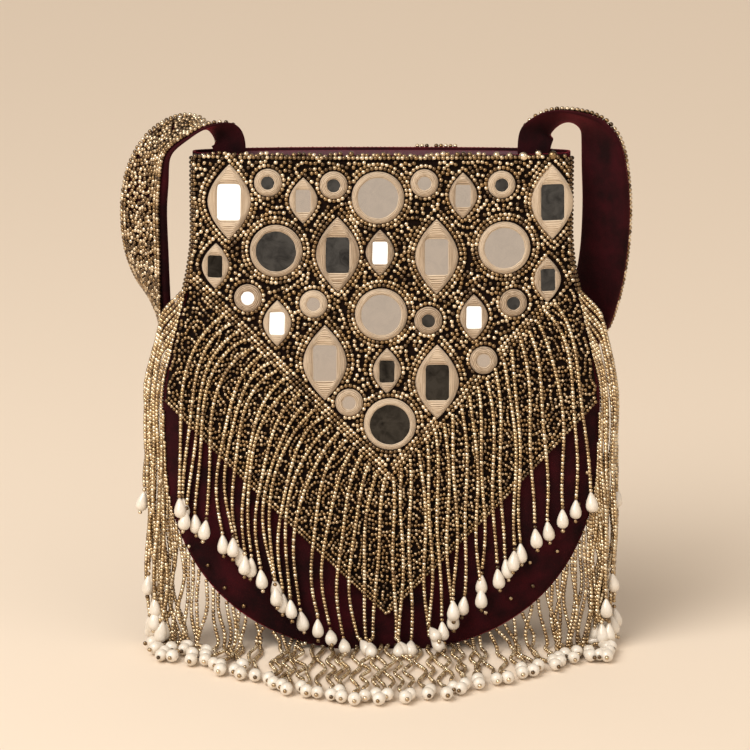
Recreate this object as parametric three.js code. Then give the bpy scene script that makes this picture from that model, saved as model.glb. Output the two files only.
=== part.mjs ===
// A beaded velvet potli bag, standing open with its strap flopped behind it.
// Millimetres, +Z up, the front faces -Y, and the origin is the middle of the flat base.
import * as THREE from "three";

// Pouch outline
const MOUTH_HEIGHT = 240;
const MOUTH_HALF_WIDTH = 88.5;
const BELLY_HALF_WIDTH = 104;
const BELLY_HEIGHT = 102;
const BASE_PRESS = 1.5; // how far the round base is pressed flat by the bag's weight
const BASE_SQUARENESS = 2.3;
const SHOULDER_RISE = 14; // the belly starts to narrow this far above its widest line
const NECK_LENGTH = 35; // the neck runs straight for this far below the mouth

// Pouch depth
const GUSSET_BASE_DEPTH = 44;
const GUSSET_MOUTH_DEPTH = 7;
const BELLY_BULGE = 10;
const MOUTH_BULGE = 5.5;
const BULGE_SQUARENESS = 3;

// Layers
const VELVET = 1.6;
const LINING = 0.8;
const BEAD_LAYER = 1;
const LAYER_GAP = 0.45;
const EDGE_MARGIN = 1.5; // bare velvet between a bead panel and the side seam

// Bead panels on the front and the border on the back
const YOKE_SIDE_DROP = 61.5;
const YOKE_TIP_DROP = 154.6;
const YOKE_TIP_OFFSET = 3.6;
const YOKE_TOP_MARGIN = 0.5;
const LOWER_SIDE_HEIGHT = 121;
const LOWER_TIP_HEIGHT = 18;
const LOWER_TIP_OFFSET = 2.5;
const BACK_BORDER_HEIGHT = 7;
const BACK_BORDER_SIDE_MARGIN = 9;

// Fringes
const STRAND_LENGTH = 97;
const FRINGE_THICKNESS = 1.8;
const FLOOR_FRINGE_HEIGHT = 6;
const FLOOR_FRINGE_CLEARANCE = 2;
const FLOOR_FRINGE_REACH = 83;
const FLOOR_FRINGE_HALF_WIDTH = 98;
const FLOOR_FRINGE_FADE = 108; // half width at which the splayed strands reach the seam again
const FLOOR_FRINGE_POWER = 1.6;
const SIDE_FRINGE_FRONT = 18;
const SIDE_FRINGE_BACK = 13;
const SIDE_FRINGE_SPREAD = 8.5; // how far the side strands stand out from the belly
const SIDE_FRINGE_INNER = 50; // where the side strands give way to those under the base
const SEAM_GAP = 0.5;

// Strap
const STRAP_WIDTH = 27;
const STRAP_END_WIDTH = 20;
const STRAP_BEAD_INSET = 2; // bare velvet along each edge of the beaded face
const STRAP_VELVET = 1.5;
const STRAP_BEADS = 1.5;
const STRAP_BEAD_GAP = 0.5;
const STRAP_END_INSET = 16; // mouth corner to the middle of the sewn end
const STRAP_SEWN_LENGTH = 16;
const STRAP_BACK_CLEARANCE = 7;
const STRAP_TAPER = 0.12; // share of the length over which each end narrows

// Magnetic snap
const SNAP_DIAMETER = 15;
const SNAP_PLATE = 2;
const SNAP_STUD_DIAMETER = 5;
const SNAP_STUD_HEIGHT = 1.8;
const SNAP_CLEARANCE = 0.5;
const SNAP_DROP = 17;

// Mirrors
const MIRROR_THICKNESS = 1;
const TILT_UNIT = THREE.MathUtils.degToRad(0.5);
const ROUND_LARGE = { diameter: 20 };
const ROUND_SMALL = { diameter: 7.2 };
const TALL_LARGE = { width: 12, height: 18 };
const TALL_SMALL = { width: 8, height: 11.5 };

// Each mirror: kind, share of the mouth half width from the centre line, share of the way from the mouth
// edge down to the yoke's V edge, and the tilts (in tilt units) that its stitches give it.
const MIRRORS = [
  [TALL_LARGE, -0.808, 0.28, -2, 3],
  [ROUND_SMALL, -0.603, 0.134, 2, -2],
  [TALL_SMALL, -0.416, 0.187, 1, 2],
  [ROUND_SMALL, -0.255, 0.11, 3, 1],
  [ROUND_LARGE, -0.019, 0.134, 0, 1],
  [ROUND_SMALL, 0.228, 0.096, -1, 2],
  [TALL_SMALL, 0.432, 0.162, 0, -2],
  [ROUND_SMALL, 0.636, 0.144, 3, -1],
  [TALL_LARGE, 0.905, 0.314, 1, -2],
  [TALL_SMALL, -0.882, 0.723, 2, 1],
  [ROUND_LARGE, -0.56, 0.445, 3, 2],
  [TALL_LARGE, -0.234, 0.359, 2, -1],
  [TALL_SMALL, -0.008, 0.305, -3, 0],
  [TALL_LARGE, 0.293, 0.366, 0, -1],
  [ROUND_LARGE, 0.652, 0.455, -1, -2],
  [TALL_SMALL, 0.882, 0.798, 3, 1],
  [ROUND_SMALL, -0.711, 0.765, -3, 1],
  [TALL_SMALL, -0.556, 0.777, -3, 2],
  [ROUND_SMALL, -0.363, 0.589, 0, 1],
  [ROUND_LARGE, -0.002, 0.498, -1, 1],
  [ROUND_SMALL, 0.25, 0.579, 3, 2],
  [TALL_SMALL, 0.492, 0.685, -2, -1],
  [ROUND_SMALL, 0.701, 0.764, 2, 0],
  [TALL_LARGE, -0.303, 0.788, -1, 2],
  [TALL_SMALL, 0.029, 0.664, 3, -1],
  [TALL_LARGE, 0.298, 0.824, 3, 1],
  [ROUND_SMALL, 0.545, 0.91, 0, -2],
  [ROUND_SMALL, -0.174, 0.862, -1, -1],
  [ROUND_LARGE, 0.045, 0.826, 3, 0],
];

// Mesh fineness
const NECK_STEPS = 8;
const BASE_STEPS = 9;
const PANEL_COLUMNS = 12;
const STRAP_STEPS = 64;
const ROUND_SIDES = 28;

const velvet = new THREE.MeshStandardMaterial({ color: 0x3a0a10, roughness: 0.95, metalness: 0 });
const liningCloth = new THREE.MeshStandardMaterial({ color: 0x4a1018, roughness: 0.7, metalness: 0 });
const goldBeads = new THREE.MeshStandardMaterial({ color: 0xa88a60, roughness: 0.4, metalness: 0.6 });
const strandBeads = new THREE.MeshStandardMaterial({ color: 0xa98052, roughness: 0.4, metalness: 0.6 });
const mirrorGlass = new THREE.MeshStandardMaterial({ color: 0xc8c8c8, roughness: 0.08, metalness: 1 });
const snapMetal = new THREE.MeshStandardMaterial({ color: 0xb08d4f, roughness: 0.3, metalness: 1 });

const lerp = THREE.MathUtils.lerp;

// Half width of the pouch at a height. An inset gives the same outline shrunk by a layer's thickness.
function halfWidth(height, inset = 0) {
  const belly = BELLY_HALF_WIDTH - inset;
  if (height < BELLY_HEIGHT) {
    const drop = (BELLY_HEIGHT - height) / (BELLY_HEIGHT + BASE_PRESS - inset);
    return belly * Math.max(1 - drop ** BASE_SQUARENESS, 0) ** (1 / BASE_SQUARENESS);
  }
  const narrowing = THREE.MathUtils.smoothstep(
    height,
    BELLY_HEIGHT + SHOULDER_RISE,
    MOUTH_HEIGHT - NECK_LENGTH,
  );
  return lerp(belly, MOUTH_HALF_WIDTH - inset, narrowing);
}

// The right half of the outline as [x, z] points, from the mouth down to the edge of the flat base.
// Points of the same index correspond between insets.
function outline(inset) {
  const points = [];
  for (let step = 0; step <= NECK_STEPS; step += 1) {
    const height = lerp(MOUTH_HEIGHT, BELLY_HEIGHT, step / NECK_STEPS);
    points.push([halfWidth(height, inset), height]);
  }
  const baseRadius = BELLY_HEIGHT + BASE_PRESS;
  const flatAngle = Math.acos((BELLY_HEIGHT / baseRadius) ** (BASE_SQUARENESS / 2));
  for (let step = 1; step <= BASE_STEPS; step += 1) {
    const angle = lerp(Math.PI / 2, flatAngle, step / BASE_STEPS);
    const across = Math.sin(angle) ** (2 / BASE_SQUARENESS);
    const down = Math.max(Math.cos(angle), 0) ** (2 / BASE_SQUARENESS);
    points.push([(BELLY_HALF_WIDTH - inset) * across, BELLY_HEIGHT - (baseRadius - inset) * down]);
  }
  return points;
}

function gussetHalfDepth(height) {
  return lerp(GUSSET_BASE_DEPTH, GUSSET_MOUTH_DEPTH, height / MOUTH_HEIGHT) / 2;
}

function bulge(height) {
  if (height < BELLY_HEIGHT) return BELLY_BULGE * (1 - (1 - height / BELLY_HEIGHT) ** 2);
  return lerp(BELLY_BULGE, MOUTH_BULGE, (height - BELLY_HEIGHT) / (MOUTH_HEIGHT - BELLY_HEIGHT));
}

// Distance from the middle plane to the inner face of the front or back panel.
function halfDepth(x, height) {
  const across = Math.min(Math.abs(x) / halfWidth(height), 1);
  return gussetHalfDepth(height) + bulge(height) * (1 - across ** BULGE_SQUARENESS);
}

// Distance from the middle plane to the inner face of the lining: the room inside the pouch.
function roomHalfDepth(x, height) {
  const across = Math.min(Math.abs(x) / halfWidth(height, VELVET + LAYER_GAP + LINING), 1);
  const cloth = LAYER_GAP + LINING;
  return gussetHalfDepth(height) + bulge(height) * (1 - across ** BULGE_SQUARENESS) - cloth;
}

// A point on the front at a distance outside the panel's inner face.
function onFront(x, height, lift) {
  return new THREE.Vector3(x, -(halfDepth(x, height) + lift), height);
}

function onBack(x, height, lift) {
  return new THREE.Vector3(x, halfDepth(x, height) + lift, height);
}

// A closed body from points and triangles, turned outside out if it came inside out.
function closedBody(points, triangles) {
  let volume = 0;
  for (let index = 0; index < triangles.length; index += 3) {
    const [a, b, c] = [0, 1, 2].map((corner) => points[triangles[index + corner]]);
    volume += a.dot(b.clone().cross(c));
  }
  const geometry = new THREE.BufferGeometry().setFromPoints(points);
  geometry.setIndex(volume < 0 ? triangles.toReversed() : triangles);
  geometry.computeVertexNormals();
  return geometry;
}

// A thin body between two patches. outer and inner take shares 0 to 1 along the columns and the rows.
function slab(columns, rows, outer, inner) {
  const stride = columns + 1;
  const layer = stride * (rows + 1);
  const points = [];
  for (const patch of [outer, inner]) {
    for (let row = 0; row <= rows; row += 1) {
      for (let column = 0; column <= columns; column += 1) points.push(patch(column / columns, row / rows));
    }
  }
  const triangles = [];
  for (let row = 0; row < rows; row += 1) {
    for (let column = 0; column < columns; column += 1) {
      const a = row * stride + column;
      const [b, c, d] = [a + 1, a + stride, a + stride + 1];
      triangles.push(a, c, b, b, c, d);
      triangles.push(layer + a, layer + b, layer + c, layer + b, layer + d, layer + c);
    }
  }
  const rim = [];
  for (let column = 0; column < columns; column += 1) rim.push(column);
  for (let row = 0; row < rows; row += 1) rim.push(row * stride + columns);
  for (let column = columns; column > 0; column -= 1) rim.push(rows * stride + column);
  for (let row = rows; row > 0; row -= 1) rim.push(row * stride);
  rim.forEach((here, index) => {
    const next = rim[(index + 1) % rim.length];
    triangles.push(here, next, layer + next, here, layer + next, layer + here);
  });
  return closedBody(points, triangles);
}

// A closed body skinned over sections, each the same even number of points in order round the section,
// the second half facing the first.
function skinned(sections) {
  const count = sections[0].length;
  const points = sections.flat();
  const triangles = [];
  for (let section = 0; section < sections.length - 1; section += 1) {
    for (let index = 0; index < count; index += 1) {
      const a = section * count + index;
      const b = section * count + ((index + 1) % count);
      triangles.push(a, b, a + count, b, b + count, a + count);
    }
  }
  const last = (sections.length - 1) * count;
  for (let index = 0; index < count / 2 - 1; index += 1) {
    const [a, b, c, d] = [index, index + 1, count - 2 - index, count - 1 - index];
    triangles.push(a, c, b, a, d, c);
    triangles.push(last + a, last + b, last + c, last + a, last + c, last + d);
  }
  return closedBody(points, triangles);
}

// Columns are closer together near the sides, where the cloth turns to the seam.
function spread(share) {
  return Math.sin((share - 0.5) * Math.PI);
}

function velvetPanel(onSide) {
  const rows = outline(0);
  const patch = (lift) => (column, row) => {
    const [width, height] = rows[Math.round(row * (rows.length - 1))];
    return onSide(spread(column) * width, height, lift);
  };
  return slab(PANEL_COLUMNS, rows.length - 1, patch(VELVET), patch(0));
}

// The strip round the sides and the base, sewn between the edges of the two panels.
function gussetStrip() {
  const mirrored = (half) => [...half, ...half.toReversed().map(([x, height]) => [-x, height])];
  const outer = mirrored(outline(0));
  const inner = mirrored(outline(VELVET));
  const sections = outer.map(([x, height], index) => {
    const reach = gussetHalfDepth(height) - LAYER_GAP;
    const [innerX, innerHeight] = inner[index];
    return [
      new THREE.Vector3(x, -reach, height),
      new THREE.Vector3(x, reach, height),
      new THREE.Vector3(innerX, reach, innerHeight),
      new THREE.Vector3(innerX, -reach, innerHeight),
    ];
  });
  return skinned(sections);
}

// An open-mouthed pouch: rings of points from the mouth down, closed by a flat bottom, then up inside.
function liningPouch() {
  const columns = PANEL_COLUMNS;
  const ring = (inset, depthInset) => ([width, height]) => {
    const half = [];
    for (let column = 0; column <= columns; column += 1) {
      const across = spread(column / columns);
      const depth =
        gussetHalfDepth(height) + bulge(height) * (1 - Math.abs(across) ** BULGE_SQUARENESS) - depthInset;
      half.push(new THREE.Vector3(across * width, -depth, height));
    }
    const back = half.toReversed().map((point) => new THREE.Vector3(point.x, -point.y, point.z));
    return [...half, ...back];
  };
  const outerInset = VELVET + LAYER_GAP;
  const outer = outline(outerInset).map(ring(outerInset, LAYER_GAP));
  const inner = outline(outerInset + LINING).map(ring(outerInset + LINING, LAYER_GAP + LINING));
  const rings = [...outer, ...inner.toReversed()];
  const count = rings[0].length;
  const triangles = [];
  const bottom = outer.length - 1;
  for (let level = 0; level < rings.length; level += 1) {
    if (level === bottom) continue;
    const next = (level + 1) % rings.length;
    for (let index = 0; index < count; index += 1) {
      const after = (index + 1) % count;
      const [a, b] = [level * count + index, level * count + after];
      const [c, d] = [next * count + index, next * count + after];
      triangles.push(a, b, c, b, d, c);
    }
  }
  for (const [level, facing] of [[bottom, 1], [bottom + 1, -1]]) {
    for (let column = 0; column < columns; column += 1) {
      const front = level * count + column;
      const back = level * count + count - 1 - column;
      const pair = [front, front + 1, back, front + 1, back - 1, back];
      triangles.push(...(facing > 0 ? pair : pair.toReversed()));
    }
  }
  return closedBody(rings.flat(), triangles);
}

// A V shaped line across the front: side height at the seams and the tip near the middle.
function vEdge(sideHeight, tipHeight, tipOffset) {
  const reach = halfWidth(sideHeight) - EDGE_MARGIN;
  return (share) => {
    const across = share * 2 - 1;
    const x = tipOffset + across * (across < 0 ? reach + tipOffset : reach - tipOffset);
    return [x, lerp(tipHeight, sideHeight, Math.abs(across))];
  };
}

const yokeEdge = vEdge(MOUTH_HEIGHT - YOKE_SIDE_DROP, MOUTH_HEIGHT - YOKE_TIP_DROP, YOKE_TIP_OFFSET);
const lowerEdge = vEdge(LOWER_SIDE_HEIGHT, LOWER_TIP_HEIGHT, LOWER_TIP_OFFSET);

function yokePanel() {
  const top = MOUTH_HEIGHT - YOKE_TOP_MARGIN;
  const patch = (lift) => (column, row) => {
    const [edgeX, edgeHeight] = yokeEdge(column);
    const share = edgeX / (halfWidth(edgeHeight) - EDGE_MARGIN);
    const height = lerp(top, edgeHeight, row);
    return onFront(share * (halfWidth(height) - EDGE_MARGIN), height, lift);
  };
  const inner = VELVET + LAYER_GAP;
  return slab(16, 8, patch(inner + BEAD_LAYER), patch(inner));
}

function lowerPanel() {
  const patch = (lift) => (column, row) => {
    const [topX, topHeight] = yokeEdge(column);
    const [lowX, lowHeight] = lowerEdge(column);
    return onFront(lerp(topX, lowX, row), lerp(topHeight - 2 * LAYER_GAP, lowHeight, row), lift);
  };
  const inner = VELVET + LAYER_GAP;
  return slab(16, 6, patch(inner + BEAD_LAYER), patch(inner));
}

function backBorder() {
  const reach = MOUTH_HALF_WIDTH - BACK_BORDER_SIDE_MARGIN;
  const patch = (lift) => (column, row) => {
    const drop = lerp(YOKE_TOP_MARGIN, BACK_BORDER_HEIGHT, row);
    return onBack(lerp(-reach, reach, column), MOUTH_HEIGHT - drop, lift);
  };
  const inner = VELVET + LAYER_GAP;
  return slab(10, 1, patch(inner + BEAD_LAYER), patch(inner));
}

// Half of the curtain of strands that hangs from the yoke's V edge, from one column share to another.
function frontFringe(from, to) {
  const floor = FLOOR_FRINGE_HEIGHT + FLOOR_FRINGE_CLEARANCE;
  const patch = (lift) => (column, row) => {
    const [x, edgeHeight] = yokeEdge(lerp(from, to, column));
    const top = edgeHeight - 4 * LAYER_GAP;
    const height = lerp(top, Math.max(top - STRAND_LENGTH, floor), row);
    return onFront(x, height, lift);
  };
  const inner = VELVET + BEAD_LAYER + 2 * LAYER_GAP;
  return slab(8, 6, patch(inner + FRINGE_THICKNESS), patch(inner));
}

// The strands that hang beside the pouch, between its outline and the floor: a flat curtain drawn in
// the XZ plane on the right and mirrored for the left.
function sideFringe(side) {
  const top = MOUTH_HEIGHT - YOKE_SIDE_DROP - 4 * LAYER_GAP;
  const reach = BELLY_HALF_WIDTH + SIDE_FRINGE_SPREAD;
  const inner = outline(-SEAM_GAP).filter(([x, height]) => height < top && x > SIDE_FRINGE_INNER);
  const corner = [halfWidth(top) + SEAM_GAP, top];
  const shape = new THREE.Shape();
  shape.moveTo(corner[0], corner[1]);
  shape.lineTo(corner[0] + 2 * SEAM_GAP, top);
  shape.quadraticCurveTo(reach, lerp(top, BELLY_HEIGHT, 0.5), reach, BELLY_HEIGHT);
  shape.lineTo(reach, 0);
  shape.lineTo(inner.at(-1)[0], 0);
  for (const [x, height] of inner.toReversed()) shape.lineTo(x, height);
  const depth = SIDE_FRINGE_FRONT - SIDE_FRINGE_BACK;
  const geometry = new THREE.ExtrudeGeometry(shape, { depth, bevelEnabled: false, curveSegments: 6 });
  geometry.rotateX(Math.PI / 2);
  if (side < 0) geometry.rotateZ(Math.PI);
  geometry.translate(0, side < 0 ? -SIDE_FRINGE_FRONT : -SIDE_FRINGE_BACK, 0);
  return geometry;
}

// The strands splayed on the floor in front of the base.
function floorFringe() {
  const back = halfDepth(0, FLOOR_FRINGE_HEIGHT) + VELVET + SEAM_GAP;
  const reachAt = (x) =>
    back + FLOOR_FRINGE_REACH * (1 - (x / FLOOR_FRINGE_FADE) ** 2) ** FLOOR_FRINGE_POWER;
  const shape = new THREE.Shape();
  shape.moveTo(FLOOR_FRINGE_HALF_WIDTH, -back);
  shape.lineTo(-FLOOR_FRINGE_HALF_WIDTH, -back);
  for (let step = 0; step <= 24; step += 1) {
    const x = lerp(-FLOOR_FRINGE_HALF_WIDTH, FLOOR_FRINGE_HALF_WIDTH, step / 24);
    shape.lineTo(x, -reachAt(x));
  }
  shape.closePath();
  return new THREE.ExtrudeGeometry(shape, { depth: FLOOR_FRINGE_HEIGHT, bevelEnabled: false });
}

// The strap's route over its velvet's outer face: points and the way the beaded face looks there.
function strapRoute() {
  const endX = MOUTH_HALF_WIDTH - STRAP_END_INSET;
  const endRoom = roomHalfDepth(endX + STRAP_END_WIDTH / 2, MOUTH_HEIGHT);
  const endY = endRoom - LAYER_GAP - STRAP_BEADS - STRAP_BEAD_GAP;
  const beside = (height, gap) => halfWidth(height) + gap;
  const behind = (x, height) => halfDepth(x, height) + VELVET + STRAP_BACK_CLEARANCE;
  const at = (drop) => MOUTH_HEIGHT - drop;
  const left = [
    [[-endX, endY, at(STRAP_SEWN_LENGTH)], [0, 1, 0]],
    [[-endX, endY, at(-5)], [0, 1, 0]],
    [[-endX - 5, endY + 1, at(-10)], [0.65, 0.45, 0.6]],
    [[-endX - 18, endY + 2, at(-12)], [-0.02, -0.28, 0.96]],
    [[-endX - 33, endY + 3, at(-4)], [-0.66, -0.42, 0.62]],
    [[-beside(at(16), 25), 5, at(16)], [-0.66, -0.72, 0.15]],
    [[-beside(at(43), 26), 9, at(43)], [-0.63, -0.77, 0]],
    [[-beside(at(70), 18), 17, at(70)], [-0.84, -0.48, -0.2]],
    [[-beside(at(91), 5), behind(beside(at(91), 0), at(91)) + 8, at(91)], [-0.9, 0.2, -0.35]],
    [[-beside(at(105), -17), behind(beside(at(105), -17), at(105)) + 6, at(105)], [-0.4, 0.85, -0.3]],
    [[-52, behind(52, at(114)), at(114)], [-0.1, 0.99, -0.05]],
    [[0, behind(0, at(118)), at(118)], [0, 1, 0]],
  ];
  const right = [
    [[52, behind(52, at(113)), at(113)], [0.1, 0.99, -0.05]],
    [[beside(at(103), -16), behind(beside(at(103), -16), at(103)) + 6, at(103)], [0.3, 0.93, -0.2]],
    [[beside(at(88), 2), behind(beside(at(88), 0), at(88)) + 8, at(88)], [0.6, 0.78, -0.1]],
    [[beside(at(68), 13), 18, at(68)], [0.68, 0.73, 0]],
    [[beside(at(43), 20), 10, at(43)], [0.66, 0.75, 0]],
    [[beside(at(16), 20), 6, at(16)], [0.68, 0.72, 0.1]],
    [[endX + 31, endY + 4, at(-10)], [0.6, 0.5, 0.65]],
    [[endX + 18, endY + 3, at(-17)], [-0.05, 0.3, 0.95]],
    [[endX + 4, endY + 1, at(-13)], [-0.7, 0.6, 0.4]],
    [[endX, endY, at(-5)], [0, 1, 0]],
    [[endX, endY, at(STRAP_SEWN_LENGTH)], [0, 1, 0]],
  ];
  const stations = [...left, ...right];
  const curve = (pick) =>
    new THREE.CatmullRomCurve3(stations.map((station) => new THREE.Vector3(...station[pick])));
  return { path: curve(0), facing: curve(1) };
}

// One layer of the strap: a flat band that follows the route. Each corner of its section is an edge
// (1 or -1), an inset from that edge and a height over the velvet's outer face.
function strapLayer(profile) {
  const { path, facing } = strapRoute();
  const sections = [];
  for (let step = 0; step <= STRAP_STEPS; step += 1) {
    const share = step / STRAP_STEPS;
    const point = path.getPoint(share);
    const along = path.getTangent(share);
    const out = facing.getPoint(share);
    out.addScaledVector(along, -out.dot(along)).normalize();
    const side = along.clone().cross(out);
    const taper = THREE.MathUtils.smoothstep(Math.min(share, 1 - share), 0, STRAP_TAPER);
    const half = lerp(STRAP_END_WIDTH, STRAP_WIDTH, taper) / 2;
    const corner = ([edge, inset, up]) =>
      point.clone().addScaledVector(side, edge * (half - inset)).addScaledVector(out, up);
    sections.push(profile.map(corner));
  }
  return skinned(sections);
}

// The velvet is split across where the beading starts, so both bands bend along the same lines.
function strapVelvet() {
  const beads = STRAP_BEAD_INSET;
  const under = [[-1, 0], [-1, beads], [1, beads], [1, 0]];
  const over = under.toReversed().map((corner) => [...corner, 0]);
  return strapLayer([...under.map((corner) => [...corner, -STRAP_VELVET]), ...over]);
}

function strapBeading() {
  const [under, over] = [STRAP_BEAD_GAP, STRAP_BEAD_GAP + STRAP_BEADS];
  const beads = STRAP_BEAD_INSET;
  return strapLayer([[1, beads, under], [-1, beads, under], [-1, beads, over], [1, beads, over]]);
}

// Snap halves are turned about Y: their plates lie on the lining and face each other.
function snapStud() {
  const [radius, pin] = [SNAP_DIAMETER / 2, SNAP_STUD_DIAMETER / 2];
  const top = SNAP_PLATE + SNAP_STUD_HEIGHT;
  const profile = [[0, 0], [radius, 0], [radius, SNAP_PLATE], [pin, SNAP_PLATE], [pin, top], [0, top]];
  return new THREE.LatheGeometry(profile.map(([r, y]) => new THREE.Vector2(r, y)), 24);
}

function snapSocket() {
  const [radius, hole] = [SNAP_DIAMETER / 2, SNAP_STUD_DIAMETER / 2 + SNAP_CLEARANCE];
  const floor = 0.6;
  const top = SNAP_STUD_HEIGHT + floor + SNAP_CLEARANCE;
  const profile = [[0, 0], [radius, 0], [radius, top], [hole, top], [hole, floor], [0, floor]];
  return new THREE.LatheGeometry(profile.map(([r, y]) => new THREE.Vector2(r, y)), 24);
}

const bag = new THREE.Group();
bag.name = "potli_bag";

function add(name, geometry, material) {
  const mesh = new THREE.Mesh(geometry, material);
  mesh.name = name;
  bag.add(mesh);
  return mesh;
}

add("front_panel", velvetPanel(onFront), velvet);
add("back_panel", velvetPanel(onBack), velvet);
add("gusset", gussetStrip(), velvet);
add("lining", liningPouch(), liningCloth);
add("mirror_yoke", yokePanel(), goldBeads);
add("lower_bead_panel", lowerPanel(), goldBeads);
add("back_bead_border", backBorder(), goldBeads);
add("front_fringe_left", frontFringe(0, 0.498), strandBeads);
add("front_fringe_right", frontFringe(0.502, 1), strandBeads);
add("side_fringe_left", sideFringe(-1), strandBeads);
add("side_fringe_right", sideFringe(1), strandBeads);
add("floor_fringe", floorFringe(), strandBeads);
add("strap_velvet", strapVelvet(), velvet);
add("strap_beading", strapBeading(), goldBeads);

const snapHeight = MOUTH_HEIGHT - SNAP_DROP;
const snapDepth = roomHalfDepth(SNAP_DIAMETER / 2, snapHeight + SNAP_DIAMETER / 2) - LAYER_GAP;
const stud = add("snap_stud", snapStud(), snapMetal);
stud.position.set(0, -snapDepth, snapHeight);
const socket = add("snap_socket", snapSocket(), snapMetal);
socket.position.set(0, snapDepth, snapHeight);
socket.rotation.x = Math.PI;

// Mirrors lie on the yoke, each square to the cloth below it and then tilted by its stitches.
MIRRORS.forEach(([kind, across, down, tiltUp, tiltSide], index) => {
  const radius = kind.diameter ? kind.diameter / 2 : Math.hypot(kind.width, kind.height) / 2;
  const yokeReach = halfWidth(MOUTH_HEIGHT - YOKE_SIDE_DROP) - EDGE_MARGIN;
  const edgeDrop = (x) => {
    const arm = x < YOKE_TIP_OFFSET ? yokeReach + YOKE_TIP_OFFSET : yokeReach - YOKE_TIP_OFFSET;
    return lerp(YOKE_TIP_DROP, YOKE_SIDE_DROP, Math.abs(x - YOKE_TIP_OFFSET) / arm);
  };
  const x = across * MOUTH_HALF_WIDTH;
  const height = MOUTH_HEIGHT - down * edgeDrop(x);
  const tilt = TILT_UNIT * (Math.abs(tiltUp) + Math.abs(tiltSide));
  const lift = VELVET + BEAD_LAYER + 2 * LAYER_GAP + radius * Math.sin(tilt) + MIRROR_THICKNESS / 2;
  const step = 0.5;
  const slopeX = (halfDepth(x + step, height) - halfDepth(x - step, height)) / (2 * step);
  const slopeZ = (halfDepth(x, height + step) - halfDepth(x, height - step)) / (2 * step);
  const out = new THREE.Vector3(-slopeX, -1, -slopeZ).normalize();
  const side = out.clone().cross(new THREE.Vector3(0, 0, 1)).normalize().negate();
  const up = side.clone().cross(out).negate();
  const glass = kind.diameter
    ? new THREE.CylinderGeometry(radius, radius, MIRROR_THICKNESS, ROUND_SIDES)
    : new THREE.BoxGeometry(kind.width, MIRROR_THICKNESS, kind.height);
  const number = String(index + 1).padStart(2, "0");
  const mirror = add(`mirror_${kind.diameter ? "round" : "tall"}_${number}`, glass, mirrorGlass);
  mirror.quaternion.setFromRotationMatrix(new THREE.Matrix4().makeBasis(side, out.clone().negate(), up));
  mirror.rotateX(TILT_UNIT * tiltUp);
  mirror.rotateZ(TILT_UNIT * tiltSide);
  mirror.position.copy(onFront(x, height, 0)).addScaledVector(out, lift);
});

export default bag;
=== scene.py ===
"""The looks of a beaded velvet potli bag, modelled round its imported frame.

Lengths inside the script are millimetres and become metres when a mesh is made. The pouch stands on
z = 0 with its mirror yoke facing -Y.
"""

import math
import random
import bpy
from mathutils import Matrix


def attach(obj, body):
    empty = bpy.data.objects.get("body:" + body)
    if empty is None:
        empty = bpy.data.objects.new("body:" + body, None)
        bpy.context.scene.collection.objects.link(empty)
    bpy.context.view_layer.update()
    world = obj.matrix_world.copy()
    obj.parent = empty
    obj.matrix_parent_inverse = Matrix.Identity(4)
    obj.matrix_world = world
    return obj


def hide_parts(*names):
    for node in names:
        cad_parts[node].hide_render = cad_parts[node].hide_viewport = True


bl_info = {
    "name": "Potli bag",
    "version": (1, 0, 0),
    "blender": (4, 5, 0),
    "location": "View3D > Sidebar > Potli bag",
    "description": "Makes the velvet, beads, mirrors, fringes and strap of a potli bag round its frame",
    "category": "Object",
}

import bpy
import numpy as np
from bpy.props import FloatProperty, FloatVectorProperty, IntProperty, PointerProperty
from bpy.types import Operator, Panel, PropertyGroup
from mathutils import Vector, noise

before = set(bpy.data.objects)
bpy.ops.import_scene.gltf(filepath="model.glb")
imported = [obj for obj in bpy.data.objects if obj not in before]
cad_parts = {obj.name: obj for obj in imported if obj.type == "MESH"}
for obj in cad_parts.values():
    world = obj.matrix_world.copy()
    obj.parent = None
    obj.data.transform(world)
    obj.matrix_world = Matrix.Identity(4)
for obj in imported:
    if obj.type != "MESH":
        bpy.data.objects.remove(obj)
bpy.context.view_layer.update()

MM = 0.001
BODY = "root"

# The pouch, as the frame has it
MOUTH_HEIGHT = 240.0
MOUTH_HALF_WIDTH = 88.5
BELLY_HALF_WIDTH = 104.0
BELLY_HEIGHT = 102.0
BASE_PRESS = 1.5
BASE_SQUARENESS = 2.3
SHOULDER_RISE = 14.0
NECK_LENGTH = 35.0
GUSSET_BASE_DEPTH = 44.0
GUSSET_MOUTH_DEPTH = 7.0
BELLY_BULGE = 10.0
MOUTH_BULGE = 5.5
BULGE_SQUARENESS = 3.0
VELVET = 1.6
LINING = 0.8
LAYER_GAP = 0.45
EDGE_MARGIN = 1.5

# The beaded panels and the mirrors' frames
YOKE_SIDE_HEIGHT = 178.5
YOKE_TIP = (3.6, 85.4)
LOWER_SIDE_HEIGHT = 121.0
LOWER_TIP = (2.5, 18.0)
CLOTH_LIFT = 2.7
CLOTH_WALL = 0.9
BEAD_LIFT = 3.45
BARREL = 1.1
YOKE_SEED = 11
LOWER_SEED = 23
BACK_SEED = 31
YOKE_TRIES = 26000
LOWER_TRIES = 40000
YOKE_RUN = 6
LOWER_RUN = 11
# Tone factor for the beads that turn round the side seams: painted shade
SIDE_PAINTED_SHADE = 0.3
LOWER_TONE = 0.74
SINGLE_BEADS = (
    *((-92, 51), (-83, 42), (-75, 31), (84, 49), (71, 44), (72.5, 32), (98, 87)),
    *((94, 72), (-66, 22), (-47, 19), (50, 19), (62, 26), (-95, 76), (-88, 63)),
)
LARGE_MOUTH_BEADS = ((54, 1), (60.5, 0.95), (66.3, 1.05), (73.5, 0.8), (80, 1.2))
LARGE_ROUND_FRAME = 25.0
SMALL_ROUND_FRAME = 13.4
LARGE_LEAF_FRAME = (20.8, 36.0)
SMALL_LEAF_FRAME = (13.6, 22.0)
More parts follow.
